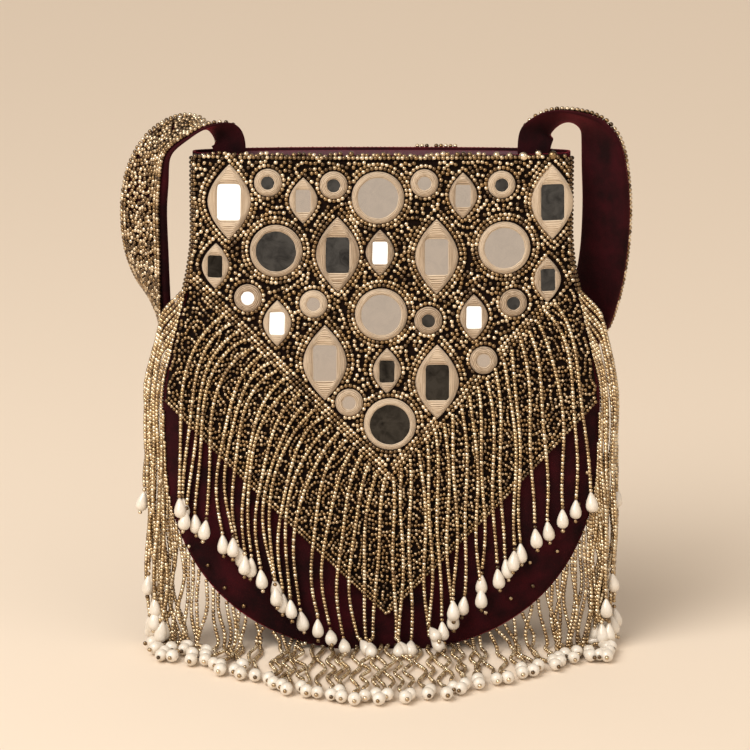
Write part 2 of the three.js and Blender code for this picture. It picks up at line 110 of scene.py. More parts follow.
LEAF_POINT = 1.8
LEAF_GROWTH = 1.6
WINDOW_SQUARENESS = 0.22
FRAME_RIDGE = 1.05
FRAME_FOOT = -1.5
GLASS_LAP = 0.45
# Mirrors given the light or the dark tint; these tints are painted reflection of what each mirror showed,
# laid under its real reflection
BRIGHT_REFLECTION_MIRRORS = ("01", "13", "17", "18", "22")
DARK_REFLECTION_MIRRORS = ("02", "04", "08", "09", "10", "11", "12", "16", "21", "23", "25", "26", "29")

# The fringes
STRAND_LIFT = 4.6
VELVET_LIFT = 3.0
FLOOR_STRAND_HEIGHT = 1.2
FLOOR_REACH = 72.0
FLOOR_FADE = 110.0
FLOOR_POWER = 1.6
FLOOR_HALF_WIDTH = 101.0
FRINGE_TOP = 118.0
LEFT_REACH = 77.0
RIGHT_REACH = 84.0
HANGING_END = 14.6
RESTING_END = 7.0
CURTAIN_TOP = (178.0, 146.0)
CURTAIN_LENGTHS = (100, 158, 134, 163, 149, 121, 155, 140, 132, 128)
CURTAIN_CLEARANCE = (1.5, 10.0)
PEARL_GAP = 6.3
FRONT_SEED = 51
EDGE_SEED = 61
SIDE_LEFT_SEED = 71
SIDE_RIGHT_SEED = 72
FLOOR_SEED = 73

# The strap
STRAP_WIDTH = 27.0
STRAP_END_WIDTH = 14.0
STRAP_TAPER = 0.2
STRAP_END_X = 72.5
STRAP_BACK_CLEARANCE = 7.0
STRAP_ROWS = 300
STRAP_SEWN = 24.0
STRAP_SMOOTHING = 16
STRAP_SOFTENING = 8
STRAP_THICKNESS = (1.8, 5.8)
STRAP_PADDING = (36, 84)
STRAP_BEAD_LIFT = 1.05
STRAP_SEED = 41
STRAP_TRIES = 60000
STRAP_RUN = 4

# The view: the photograph's scale and tilt, and a long lens
VIEW_TARGET = Vector((-3.1, -24.0, 136.6)) * MM
VIEW_TILT = math.radians(14.2)
VIEW_DISTANCE = 1.78
VIEW_LENS = 180.0
SENSOR = 36.0

# The light: where each lamp stands or shines from, with its size, strength and colour
FLOOR_RADIUS = 14
SKY = ("fff4e8", 0.46)
BACKDROP = ("f0dec8", 1.0)
KEY_SUN = ((-0.5, -0.62, 0.85), 1.15, 45, "fff6ec")
FILL_SUN = ((0.9, -0.7, 0.8), 0.35, 50, "fff4ea")
FRONT_PANEL = ((0.1, -2.6, 0.25), (2.3, 1.9), 13.5)
TOP_PANEL = ((-0.75, -0.75, 1.2), (1.0, 1.0), 11.5)


def linear(code):
    """An sRGB hex colour as linear red, green, blue and alpha."""
    channels = [int(code[i : i + 2], 16) / 255 for i in (0, 2, 4)]
    return [c / 12.92 if c <= 0.04045 else ((c + 0.055) / 1.055) ** 2.4 for c in channels] + [1.0]


def length(name, description, millimetres):
    """A length property with its default in millimetres."""
    return FloatProperty(
        name=name, description=description, default=millimetres * MM, unit="LENGTH", precision=5
    )


def colour(name, description, code):
    """A colour property with its default as an sRGB hex value."""
    return FloatVectorProperty(
        name=name, description=description, default=linear(code), subtype="COLOR", size=4, min=0, max=1
    )


class PotliSizes(PropertyGroup):
    """Sizes of the sewn and strung pieces."""

    seed_bead: length("Seed bead", "Outside diameter of a bead sewn on the yoke or strap", 2.25)
    panel_bead: length("Panel bead", "Outside diameter of a bead sewn on the lower panel", 1.95)
    edge_bead: length("Edge bead", "Diameter of the large round beads on the mouth edge", 3.9)
    cut_bead: length("Cut bead", "Outside diameter of a strand's cut bead", 1.95)
    cut_bead_length: length("Cut bead length", "Length of a strand's cut bead along its thread", 1.8)
    strand: length("Strand", "Length of a bead strand above its pearl", 92.0)
    edge_spacing: length("Edge strand spacing", "Distance between strands on the lower seam", 4.5)
    pearl_width: length("Pearl width", "Widest diameter of a drop pearl", 6.0)
    pearl_length: length("Pearl length", "Length of a drop pearl", 9.8)
    tip_bead: length("Tip bead", "Diameter of the bead that closes a strand", 2.2)
    left_strands: IntProperty(name="Left strands", description="Strands on the yoke's left arm", default=22)
    right_strands: IntProperty(name="Right strands", description="Strands on its right arm", default=20)


class PotliColours(PropertyGroup):
    """Colours of the finishes."""

    # The deep and the lit velvet are a shaded and a lit copy of one velvet, mixed in noise patches as painted
    # sheen
    velvet_deep: colour("Velvet, deep", "Velvet seen into its pile", "180305")
    velvet_lit: colour("Velvet, lit", "Velvet where the pile leans to the light", "3a0810")
    velvet_sheen: colour("Velvet sheen", "Light caught on the tips of the pile", "c83a48")
    lining: colour("Lining", "Wine satin inside the mouth", "5a1a2c")
    ground: colour("Ground cloth", "Dark cloth under the sewn beads", "1c0d06")
    bead_dark: colour("Bead, dark", "Darkest of the antique gold beads", "4c3822")
    bead_gold: colour("Bead, gold", "Middle of the antique gold beads", "94774f")
    bead_bright: colour("Bead, bright", "Palest of the antique gold beads", "ecd9ba")
    strand_dark: colour("Strand, dark", "Darkest of the strands' cut beads", "8a7050")
    strand_gold: colour("Strand, gold", "Middle of the strands' cut beads", "c4a87c")
    strand_bright: colour("Strand, bright", "Palest of the strands' cut beads", "efe0c2")
    # The dark thread colour is painted shade between the wraps of thread
    thread: colour("Thread", "Beige stitching round the mirrors", "b59d81")
    thread_groove_shade: colour("Thread, dark", "Shade between the threads", "69503a")
    pearl: colour("Pearl", "Ivory coat of the drop pearls", "ebe2d4")
    # The three mirror tints are painted reflection: light, grey or dark as each mirror's surroundings showed
    # in it
    mirror_bright_reflection: colour("Mirror, light", "Clear silvering", "f6f6f4")
    mirror_grey_reflection: colour("Mirror, grey", "Smoky silvering", "9f9284")
    mirror_dark_reflection: colour("Mirror, dark", "Blackened silvering", "413f3c")
    brass: colour("Snap", "Polished brass", "b08d4f")
    floor: colour("Floor", "Pale studio floor and backdrop", "efdfcb")


def sizes():
    """The size settings of this scene."""
    return bpy.context.scene.potli_sizes


def colours():
    """The colour settings of this scene."""
    return bpy.context.scene.potli_colours


# Shape of the pouch


def lerp(low, high, share):
    """The value a share of the way from low to high."""
    return low + (high - low) * share


def smoothstep(value, low=0.0, high=1.0):
    """A smooth rise from 0 at low to 1 at high."""
    share = np.clip((value - low) / (high - low), 0.0, 1.0)
    return share * share * (3 - 2 * share)


def half_width(height, inset=0.0):
    """Half width of the pouch at a height."""
    below = np.clip((BELLY_HEIGHT - height) / (BELLY_HEIGHT + BASE_PRESS - inset), 0.0, 1.0)
    base = (1 - below**BASE_SQUARENESS) ** (1 / BASE_SQUARENESS)
    rise = smoothstep(height, BELLY_HEIGHT + SHOULDER_RISE, MOUTH_HEIGHT - NECK_LENGTH)
    return lerp(BELLY_HALF_WIDTH - inset, MOUTH_HALF_WIDTH - inset, rise) * base


def gusset_half_depth(height):
    """Half depth of the pouch at its seams."""
    return lerp(GUSSET_BASE_DEPTH, GUSSET_MOUTH_DEPTH, np.clip(height / MOUTH_HEIGHT, 0, 1)) / 2


def bulge(height):
    """How far the middle of a panel stands out past its seams."""
    low = BELLY_BULGE * (1 - (1 - np.clip(height / BELLY_HEIGHT, 0, 1)) ** 2)
    above = np.clip((height - BELLY_HEIGHT) / (MOUTH_HEIGHT - BELLY_HEIGHT), 0, 1)
    high = lerp(BELLY_BULGE, MOUTH_BULGE, above)
    return np.where(height < BELLY_HEIGHT, low, high)


def half_depth(x, height):
    """Half depth of the pouch under its velvet."""
    across = np.minimum(np.abs(x) / np.maximum(half_width(height), 1.0), 1.0)
    return gusset_half_depth(height) + bulge(height) * (1 - across**BULGE_SQUARENESS)


def room_half_depth(x, height):
    """Half depth of the room inside the lining."""
    wall = VELVET + LINING + LAYER_GAP
    across = np.minimum(np.abs(x) / half_width(height, wall), 1.0)
    depth = gusset_half_depth(height) + bulge(height) * (1 - across**BULGE_SQUARENESS)
    return depth - LINING - LAYER_GAP


def v_edge(x, side_height, tip):
    """Height of a panel's V shaped lower edge."""
    reach = float(half_width(side_height)) - EDGE_MARGIN
    arm = np.where(x < tip[0], reach + tip[0], reach - tip[0])
    return lerp(tip[1], side_height, np.abs(x - tip[0]) / arm)


def yoke_edge(x):
    """Height of the mirror yoke's lower edge."""
    return v_edge(x, YOKE_SIDE_HEIGHT, YOKE_TIP)


def lower_edge(x):
    """Height of the lower bead panel's lower edge."""
    return v_edge(x, LOWER_SIDE_HEIGHT, LOWER_TIP)


def unit(vectors):
    """Rows of vectors made one long."""
    return vectors / np.maximum(np.linalg.norm(vectors, axis=-1, keepdims=True), 1e-9)


def panel_points(x, height, lift, facing=-1):
    """Points over a panel and the way out of it; facing is -1 in front and 1 behind."""
    x = np.asarray(x, dtype=float)
    height = np.asarray(height, dtype=float)
    step = 0.5
    slope_x = (half_depth(x + step, height) - half_depth(x - step, height)) / (2 * step)
    slope_z = (half_depth(x, height + step) - half_depth(x, height - step)) / (2 * step)
    out = unit(np.stack([-slope_x, np.full_like(x, facing), -slope_z], axis=-1))
    points = np.stack([x, facing * half_depth(x, height), height], axis=-1)
    return points + out * np.asarray(lift)[..., None], out


def run_of(points):
    """How far along a path each of its points is."""
    return np.concatenate([[0], np.cumsum(np.linalg.norm(np.diff(points, axis=0), axis=1))])


def along_path(places, run, points):
    """Points at some places along a path."""
    return np.stack([np.interp(places, run, column) for column in np.transpose(points)], axis=-1)


def smooth_path(points, passes=3):
    """A path with its corners rounded, its ends kept."""
    points = np.asarray(points, dtype=float)
    for _ in range(passes):
        points[1:-1] = (points[:-2] + 2 * points[1:-1] + points[2:]) / 4
    return points


# Mesh tools


def deselect():
    """Leave every object deselected, in object mode."""
    if bpy.context.object and bpy.context.object.mode != "OBJECT":
        bpy.ops.object.mode_set(mode="OBJECT")
    bpy.ops.object.select_all(action="DESELECT")


def in_edit_mode(made, *steps):
    """Run mesh operators on all of one object."""
    deselect()
    bpy.context.view_layer.objects.active = made
    made.select_set(True)
    bpy.ops.object.mode_set(mode="EDIT")
    bpy.ops.mesh.select_all(action="SELECT")
    for step in steps:
        step()
    bpy.ops.object.mode_set(mode="OBJECT")


def cloth_grid(name, columns, rows, place, wall=0.0, closed=False):
    """A grid whose points go where place(u, v) says, its edges joined if closed, given a wall inwards."""
    deselect()
    bpy.ops.mesh.primitive_grid_add(x_subdivisions=columns, y_subdivisions=rows, size=2)
    made = bpy.context.object
    made.name = name
    for vertex in made.data.vertices:
        vertex.co = Vector(place((vertex.co.x + 1) / 2, (vertex.co.y + 1) / 2)) * MM
    if closed:
        in_edit_mode(made, lambda: bpy.ops.mesh.remove_doubles(threshold=0.01 * MM))
    bpy.ops.object.shade_smooth()
    if wall:
        solid = made.modifiers.new("wall", "SOLIDIFY")
        solid.thickness = wall * MM
        solid.offset = -1
        bpy.ops.object.modifier_apply(modifier=solid.name)
    return made


def take_shape(made):
    """The corners and triangles of a modelled shape, which is then removed."""
    in_edit_mode(made, bpy.ops.mesh.quads_convert_to_tris)
    corners = np.array([vertex.co[:] for vertex in made.data.vertices])
    triangles = np.array([face.vertices[:] for face in made.data.polygons])
    bpy.data.objects.remove(made)
    return corners, triangles


def seed_bead_shape():
    """A small round glass bead, one wide, flattened along its thread."""
    deselect()
    bpy.ops.mesh.primitive_uv_sphere_add(segments=7, ring_count=4, radius=0.5)
    bead = bpy.context.object
    in_edit_mode(bead, lambda: bpy.ops.transform.resize(value=(1, 1, 0.94)))
    return take_shape(bead)


def round_bead_shape():
    """A larger round bead, one wide, with finer facets."""
    deselect()
    bpy.ops.mesh.primitive_uv_sphere_add(segments=10, ring_count=7, radius=0.5)
    return take_shape(bpy.context.object)


def cut_bead_shape():
    """A six sided cut bead, one wide and one long, its ends slightly raised."""
    deselect()
    bpy.ops.mesh.primitive_cylinder_add(vertices=6, radius=0.5, depth=0.8, end_fill_type="TRIFAN")
    bead = bpy.context.object
    for vertex in bead.data.vertices:
        if abs(vertex.co.x) + abs(vertex.co.y) < 0.01:
            vertex.co.z *= 1.22
    return take_shape(bead)


def drop_pearl_shape():
    """A drop one long from its narrow top at z = 0, and one wide."""
    deselect()
    bpy.ops.mesh.primitive_uv_sphere_add(segments=12, ring_count=9, radius=0.5)
    pearl = bpy.context.object
    for vertex in pearl.data.vertices:
        down = 0.5 - vertex.co.z
        swell = 1.3 * (0.34 + 0.72 * down)
        vertex.co = (vertex.co.x * swell, vertex.co.y * swell, -down)
    return take_shape(pearl)


def bead_places(centres, alongs, outs, width, long, rng, spread=0.06):
    """Rows of a centre, three scaled axes and a tone for beads whose thread runs along."""
    centres = np.asarray(centres, dtype=float)
    alongs = unit(np.asarray(alongs, dtype=float))
    outs = np.asarray(outs, dtype=float)
    sides = unit(np.cross(outs, alongs))
    outs = np.cross(alongs, sides)
    scale = np.array([1 + rng.uniform(-spread, spread) for _ in centres])[:, None]
    tones = np.array([rng.random() for _ in centres])[:, None]
    axes = [sides * width * scale, outs * width * scale, alongs * long * scale]
    return np.hstack([centres, *axes, tones])


def stamp(name, shape, places, smooth=True):
    """One mesh of a modelled shape copied to every place, with each copy's tone as an attribute."""
    corners, triangles = shape
    rows = np.vstack(places)
    axes = rows[:, 3:12].reshape(-1, 3, 3)
    points = (np.einsum("pk,nkc->npc", corners, axes) + rows[:, None, 0:3]).reshape(-1, 3) * MM
    starts = (np.arange(len(rows)) * len(corners))[:, None, None]
    faces = (triangles[None, :, :] + starts).reshape(-1, 3).astype(np.int32)
    mesh = bpy.data.meshes.new(name)
    mesh.vertices.add(len(points))
    mesh.vertices.foreach_set("co", points.ravel())
    mesh.loops.add(faces.size)
    mesh.loops.foreach_set("vertex_index", faces.ravel())
    mesh.polygons.add(len(faces))
    mesh.polygons.foreach_set("loop_start", np.arange(0, faces.size, 3, dtype=np.int32))
    mesh.polygons.foreach_set("use_smooth", np.full(len(faces), smooth))
    mesh.update(calc_edges=True)
    tone = mesh.attributes.new("tone", "FLOAT", "POINT")
    tone.data.foreach_set("value", np.repeat(rows[:, 12], len(corners)))
    made = bpy.data.objects.new(name, mesh)
    bpy.context.collection.objects.link(made)
    return made


def finish_piece(made, finish, slot, *nodes):
    """Give a piece its finish and its body, and hide the frame nodes that it stands for; the slot is not
    used.
    """
    made.data.materials.clear()
    made.data.materials.append(finish)
    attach(made, BODY)
    if nodes:
        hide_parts(*nodes)
    return made


# Finishes


def add_node(tree, kind, values=None, links=None, stops=None, **settings):
    """Add a node with its settings, its input values, its links and any colour stops."""
    made = tree.nodes.new(kind)
    for name, value in settings.items():
        setattr(made, name, value)
    for name, value in (values or {}).items():
        made.inputs[name].default_value = value
    for name, source in (links or {}).items():
        tree.links.new(source, made.inputs[name])
    for index, (place, shade) in enumerate(stops or []):
        points = made.color_ramp.elements
        point = points[index] if index < 2 else points.new(place)
        point.position = place
        point.color = shade
    return made


def new_finish(name, **values):
    """A named material, with its node tree and its shader, whose sockets take the values given."""
    made = bpy.data.materials.get(name) or bpy.data.materials.new(name)
    made.use_nodes = True
    shader = made.node_tree.nodes["Principled BSDF"]
    for socket, value in values.items():
        shader.inputs[socket.replace("_", " ")].default_value = value
    return made, made.node_tree, shader


def grain(spacing):
    """Noise scale, in repeats a metre, for a grain of that many millimetres."""
    return 1 / (spacing * MM)


def velvet():
    """Cut pile velvet: almost black looked into, red seen edge on, with noise patches that mix a deep and a
    lit copy of the velvet as painted sheen.
    """
    shades = colours()
    made, tree, shader = new_finish(
        "Maroon pile velvet",
        Roughness=0.92,
        Sheen_Weight=0.9,
        Sheen_Roughness=0.27,
        Sheen_Tint=shades.velvet_sheen,
        Specular_IOR_Level=0.15,
    )
    place = add_node(tree, "ShaderNodeTexCoord")
    # Noise patches mixing the deep and the lit velvet: painted sheen where the pile lies differently
    sheen_patches = add_node(
        tree,
        "ShaderNodeTexNoise",
        {"Scale": grain(16), "Detail": 3.0, "Roughness": 0.55},
        {"Vector": place.outputs["Object"]},
    )
    shade = add_node(
        tree,
        "ShaderNodeValToRGB",
        links={"Fac": sheen_patches.outputs["Fac"]},
        stops=[(0.35, shades.velvet_deep), (0.72, shades.velvet_lit)],
    )
    pile = add_node(
        tree,
        "ShaderNodeTexNoise",
        {"Scale": grain(0.7), "Detail": 2.0},
        {"Vector": place.outputs["Object"]},
    )
    bump = add_node(
        tree, "ShaderNodeBump", {"Strength": 0.5, "Distance": 0.4 * MM}, {"Height": pile.outputs["Fac"]}
    )
    tree.links.new(shade.outputs["Color"], shader.inputs["Base Color"])
    tree.links.new(bump.outputs["Normal"], shader.inputs["Normal"])
    return made


def woven_cloth(finish, thread, detail, stops, relief):
    """Give a cloth finish its weave: threads of that many millimetres, in two shades and raised a little."""
    made, tree, shader = finish
    place = add_node(tree, "ShaderNodeTexCoord")
    weave = add_node(
        tree,
        "ShaderNodeTexNoise",
        {"Scale": grain(thread), "Detail": detail},
        {"Vector": place.outputs["Object"]},
    )
    shade = add_node(tree, "ShaderNodeValToRGB", links={"Fac": weave.outputs["Fac"]}, stops=stops)
    strength, height = relief
    bump = add_node(
        tree,
        "ShaderNodeBump",
        {"Strength": strength, "Distance": height * MM},
        {"Height": weave.outputs["Fac"]},
    )
    tree.links.new(shade.outputs["Color"], shader.inputs["Base Color"])
    tree.links.new(bump.outputs["Normal"], shader.inputs["Normal"])
    return made


def satin():
    """Woven satin lining: smooth, with a soft shine and a fine thread."""
    shades = colours()
    finish = new_finish(
        "Wine satin", Roughness=0.55, Sheen_Weight=0.3, Sheen_Roughness=0.4, Sheen_Tint=shades.velvet_sheen
    )
    return woven_cloth(finish, 0.9, 2.0, [(0.2, shades.velvet_lit), (0.75, shades.lining)], (0.25, 0.2))


def ground_cloth():
    """Dark woven cotton under the beads: matt, with a coarse thread that shows in the gaps."""
    finish = new_finish("Dark woven cotton", Roughness=0.9, Specular_IOR_Level=0.1)
    return woven_cloth(finish, 1.1, 3.0, [(0.3, linear("0c0604")), (0.7, colours().ground)], (0.6, 0.3))


def toned_glass(name, stops, roughness):
    """Metal lined glass beads: each bead its own tone, a clear skin over a gold core."""
    made, tree, shader = new_finish(name, Metallic=0.9, Coat_Weight=0.5, Coat_Roughness=0.08)
    tone = add_node(tree, "ShaderNodeAttribute", attribute_name="tone")
    shade = add_node(tree, "ShaderNodeValToRGB", links={"Fac": tone.outputs["Fac"]}, stops=stops)
    place = add_node(tree, "ShaderNodeTexCoord")
    tarnish = add_node(
        tree, "ShaderNodeTexNoise", {"Scale": grain(9), "Detail": 2.0}, {"Vector": place.outputs["Object"]}
    )
    dulled = add_node(
        tree,
        "ShaderNodeMapRange",
        {"To Min": roughness - 0.06, "To Max": roughness + 0.12},
        {"Value": tarnish.outputs["Fac"]},
    )
    tree.links.new(shade.outputs["Color"], shader.inputs["Base Color"])
    tree.links.new(dulled.outputs["Result"], shader.inputs["Roughness"])
    return made


def seed_glass():
    """Antique gold lined seed beads: pale glints over a brown gold body."""
    shades = colours()
    stops = [(0.0, shades.bead_dark), (0.45, shades.bead_gold), (1.0, shades.bead_bright)]
    return toned_glass("Antique gold lined glass", stops, 0.21)


def strand_glass():
    """Gold lined cut beads: paler and warmer than the sewn beads, each with its own glint."""
    shades = colours()
    stops = [(0.0, shades.strand_dark), (0.5, shades.strand_gold), (1.0, shades.strand_bright)]
    return toned_glass("Gold lined cut glass", stops, 0.22)


def cotton_thread():
    """Stranded cotton stitching wound round the glass: painted light on its ridges and painted shade between
    them.
    """
    shades = colours()
    made, tree, shader = new_finish("Beige stranded cotton", Roughness=0.8, Sheen_Weight=0.1)
    tone = add_node(tree, "ShaderNodeAttribute", attribute_name="tone")
    wound = add_node(tree, "ShaderNodeUVMap")
    drawn_out = add_node(
        tree, "ShaderNodeMapping", {"Scale": (11.0, 17.0, 1.0)}, {"Vector": wound.outputs["UV"]}
    )
    fibre = add_node(
        tree,
        "ShaderNodeTexNoise",
        {"Scale": 1.0, "Detail": 4.0, "Roughness": 0.65},
        {"Vector": drawn_out.outputs["Vector"]},
    )
    mixed = add_node(
        tree,
        "ShaderNodeMath",
        {1: 0.9},
        {0: fibre.outputs["Fac"], 2: tone.outputs["Fac"]},
        operation="MULTIPLY_ADD",
    )
    # Low values take the painted shade between wraps, high ones the pale painted light on their crests
    shade = add_node(
        tree,
        "ShaderNodeValToRGB",
        links={"Fac": mixed.outputs["Value"]},
        stops=[(0.72, shades.thread_groove_shade), (0.88, shades.thread), (1.0, linear("d2bea4"))],
    )
    bump = add_node(
        tree, "ShaderNodeBump", {"Strength": 0.8, "Distance": 0.5 * MM}, {"Height": fibre.outputs["Fac"]}
    )
    tree.links.new(shade.outputs["Color"], shader.inputs["Base Color"])
    tree.links.new(bump.outputs["Normal"], shader.inputs["Normal"])
    return made


def ivory_pearl():
    """Pearl lacquer on glass: soft white body under a clear, slightly glowing coat."""
    shades = colours()
    made, tree, shader = new_finish(
        "Ivory pearl lacquer", Roughness=0.3, Coat_Weight=0.6, Coat_Roughness=0.1, Sheen_Weight=0.1, IOR=1.55
    )
    place = add_node(tree, "ShaderNodeTexCoord")
    cloud = add_node(
        tree, "ShaderNodeTexNoise", {"Scale": grain(5), "Detail": 2.0}, {"Vector": place.outputs["Object"]}
    )
    shade = add_node(
        tree,
        "ShaderNodeValToRGB",
        links={"Fac": cloud.outputs["Fac"]},
        stops=[(0.25, linear("d9cdbb")), (0.7, shades.pearl)],
    )
    tree.links.new(shade.outputs["Color"], shader.inputs["Base Color"])
    return made


def silvered_glass(name, shade, wear):
    """Old silvered mirror: a hard reflection with faint wipe marks and specks, over a tint that is painted
    reflection.
    """
    made, tree, shader = new_finish(name, Metallic=1.0)
    place = add_node(tree, "ShaderNodeTexCoord")
    smear = add_node(
        tree,
        "ShaderNodeTexNoise",
        {"Scale": grain(7), "Detail": 5.0, "Roughness": 0.65, "Distortion": 1.2},
        {"Vector": place.outputs["Object"]},
    )
    darker = [channel * (1 - wear) for channel in shade[:3]] + [1.0]
    tint = add_node(
        tree,
        "ShaderNodeValToRGB",
        links={"Fac": smear.outputs["Fac"]},
        stops=[(0.3, darker), (0.6, shade)],
    )
    dulled = add_node(
        tree, "ShaderNodeMapRange", {"To Min": 0.03, "To Max": 0.16}, {"Value": smear.outputs["Fac"]}
    )
    tree.links.new(tint.outputs["Color"], shader.inputs["Base Color"])
    tree.links.new(dulled.outputs["Result"], shader.inputs["Roughness"])
    return made


def polished_brass():
    """Pressed and polished brass: warm, with fine rubbing marks."""
    made, tree, shader = new_finish("Polished brass", Metallic=1.0, Base_Color=colours().brass)
    place = add_node(tree, "ShaderNodeTexCoord")
    rubbed = add_node(
        tree, "ShaderNodeTexNoise", {"Scale": grain(1.5), "Detail": 4.0}, {"Vector": place.outputs["Object"]}
    )
    dulled = add_node(
        tree, "ShaderNodeMapRange", {"To Min": 0.18, "To Max": 0.36}, {"Value": rubbed.outputs["Fac"]}
    )
    tree.links.new(dulled.outputs["Result"], shader.inputs["Roughness"])
    return made


def studio_paper():
    """Matt studio paper for the floor."""
    values = {"Base_Color": colours().floor, "Specular_IOR_Level": 0.1}
    made, _, _ = new_finish("Studio paper", Roughness=0.95, **values)
    return made


# Sewn beads


class BeadPattern:
    """Beads sewn on a flat pattern, none nearer to another than a gap."""

    def __init__(self, inside, gap):
        self.inside = inside
        self.gap = gap
        self.cells = {}
        self.beads = []

    def cell(self, x, z):
        """The square of the pattern that a point is in."""
        return int(x // self.gap), int(z // self.gap)

    def is_free(self, x, z, gap):
        """Whether no sewn bead is nearer than the gap."""
        column, row = self.cell(x, z)
        for near_column in (column - 1, column, column + 1):
            for near_row in (row - 1, row, row + 1):
                for other_x, other_z in self.cells.get((near_column, near_row), ()):
                    if (other_x - x) ** 2 + (other_z - z) ** 2 < gap * gap:
                        return False
        return True

    def sew(self, x, z, heading):
        """Sew one bead whose thread runs along the heading."""
        self.cells.setdefault(self.cell(x, z), []).append((x, z))
        self.beads.append((x, z, heading))

    def sew_row(self, line, pitch):
        """Sew beads along a line of points, leaving out those with no room."""
        line = np.asarray(line, dtype=float)
        run = run_of(line)
        for place in np.arange(pitch / 2, run[-1], pitch):
            (x, z), (ahead_x, ahead_z) = along_path([place, place + 0.4], run, line)
            if self.inside(x, z) and self.is_free(x, z, self.gap * 0.84):
                self.sew(x, z, math.atan2(ahead_z - z, ahead_x - x))

    def sew_runs(self, low, high, tries, longest, pitch, rng):
        """Fill what is left with short wandering runs of beads."""
        for _ in range(tries):
            x, z = rng.uniform(low[0], high[0]), rng.uniform(low[1], high[1])
            if not self.inside(x, z) or not self.is_free(x, z, self.gap):
                continue
            heading = rng.uniform(0, 2 * math.pi)
            run = [(x, z, heading)]
            turn = rng.uniform(-0.3, 0.3)
            while len(run) < longest:
                turn = max(-0.6, min(0.6, turn + rng.gauss(0, 0.22)))
                for swing in (turn, turn + 0.7, turn - 0.7):
                    next_x = x + pitch * math.cos(heading + swing)
                    next_z = z + pitch * math.sin(heading + swing)
                    clear = all(
                        (next_x - old[0]) ** 2 + (next_z - old[1]) ** 2 >= self.gap**2 for old in run[:-1]
                    )
                    if clear and self.inside(next_x, next_z) and self.is_free(next_x, next_z, self.gap):
                        break
                else:
                    break
                heading += swing
                x, z = next_x, next_z
                run.append((x, z, heading))
            for bead in run:
                self.sew(*bead)

    def places(self, lift, width, long, rng, facing=-1):
        """Places of the sewn beads over a panel of the pouch."""
        x, z, heading = np.array(self.beads).T
        centres, outs = panel_points(x, z, np.full_like(x, lift), facing)
        along = np.stack([np.cos(heading), np.zeros_like(x), np.sin(heading)], axis=-1)
        return bead_places(centres, along, outs, width, long, rng)


def offset_v(edge, offset, reach):
    """Points along a V edge, moved up off it by an offset measured square to it."""
    xs = np.linspace(-reach, reach, 160)
    slope = np.abs(np.gradient(edge(xs), xs))
    return np.stack([xs, edge(xs) + offset * np.sqrt(1 + slope**2)], axis=-1)


# Mirrors and their thread frames


class MirrorFrame:
    """The thread frame of one mirror, placed from the mirror's own node."""

    def __init__(self, name, node):
        corners = np.array([vertex.co[:] for vertex in node.data.vertices]) / MM
        self.number = name[-2:]
        self.centre = corners.mean(axis=0)
        spread = np.unique(np.round(corners - self.centre, 3), axis=0)
        axes = np.linalg.svd(spread, full_matrices=False)[2]
        self.out = axes[2] if axes[2][1] < 0 else -axes[2]
        self.up = unit(np.array([0, 0, 1.0]) - self.out * self.out[2])
        self.side = np.cross(self.up, -self.out)
        self.round = "round" in name
        self.half = (np.abs(spread @ self.side).max(), np.abs(spread @ self.up).max())
        if self.round:
            across = LARGE_ROUND_FRAME if self.half[0] > 6 else SMALL_ROUND_FRAME
            self.outer = (across / 2, across / 2)
        else:
            leaf = LARGE_LEAF_FRAME if self.half[0] > 5 else SMALL_LEAF_FRAME
            self.outer = (leaf[0] / 2, leaf[1] / 2)
        self.large = self.outer[0] > 8

    def rim(self, angle, grow=0.0):
        """A point on the frame's outer rim, across and up from its middle."""
        if self.round:
            radius = self.outer[0] + grow
            return radius * math.cos(angle), radius * math.sin(angle)
        rise = math.sin(angle)
        across = (self.outer[0] + grow) * (1 - abs(rise) ** LEAF_POINT)
        return math.copysign(across, math.cos(angle)), (self.outer[1] + LEAF_GROWTH * grow) * rise

    def window(self, angle):
        """A point on the frame's opening over the glass."""
        half_x, half_z = (size - GLASS_LAP for size in self.half)
        if self.round:
            return half_x * math.cos(angle), half_z * math.sin(angle)
        power = WINDOW_SQUARENESS
        cosine, sine = math.cos(angle), math.sin(angle)
        return (
            math.copysign(half_x * abs(cosine) ** power, cosine),
            math.copysign(half_z * abs(sine) ** power, sine),
        )

    def covers(self, x, z, grow):
        """Whether the frame, grown by some millimetres, covers a point of the pattern."""
        across, rise = abs(x - self.centre[0]), abs(z - self.centre[2])
        if self.round:
            return math.hypot(across, rise) < self.outer[0] + grow
        tall = self.outer[1] + LEAF_GROWTH * grow
        return rise < tall and across < (self.outer[0] + grow) * (1 - (rise / tall) ** LEAF_POINT)


def mirror_frames():
    """The thread frames of all mirrors, in order."""
    names = sorted(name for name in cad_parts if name.startswith(("mirror_round", "mirror_tall")))
    return [MirrorFrame(name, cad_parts[name]) for name in names]


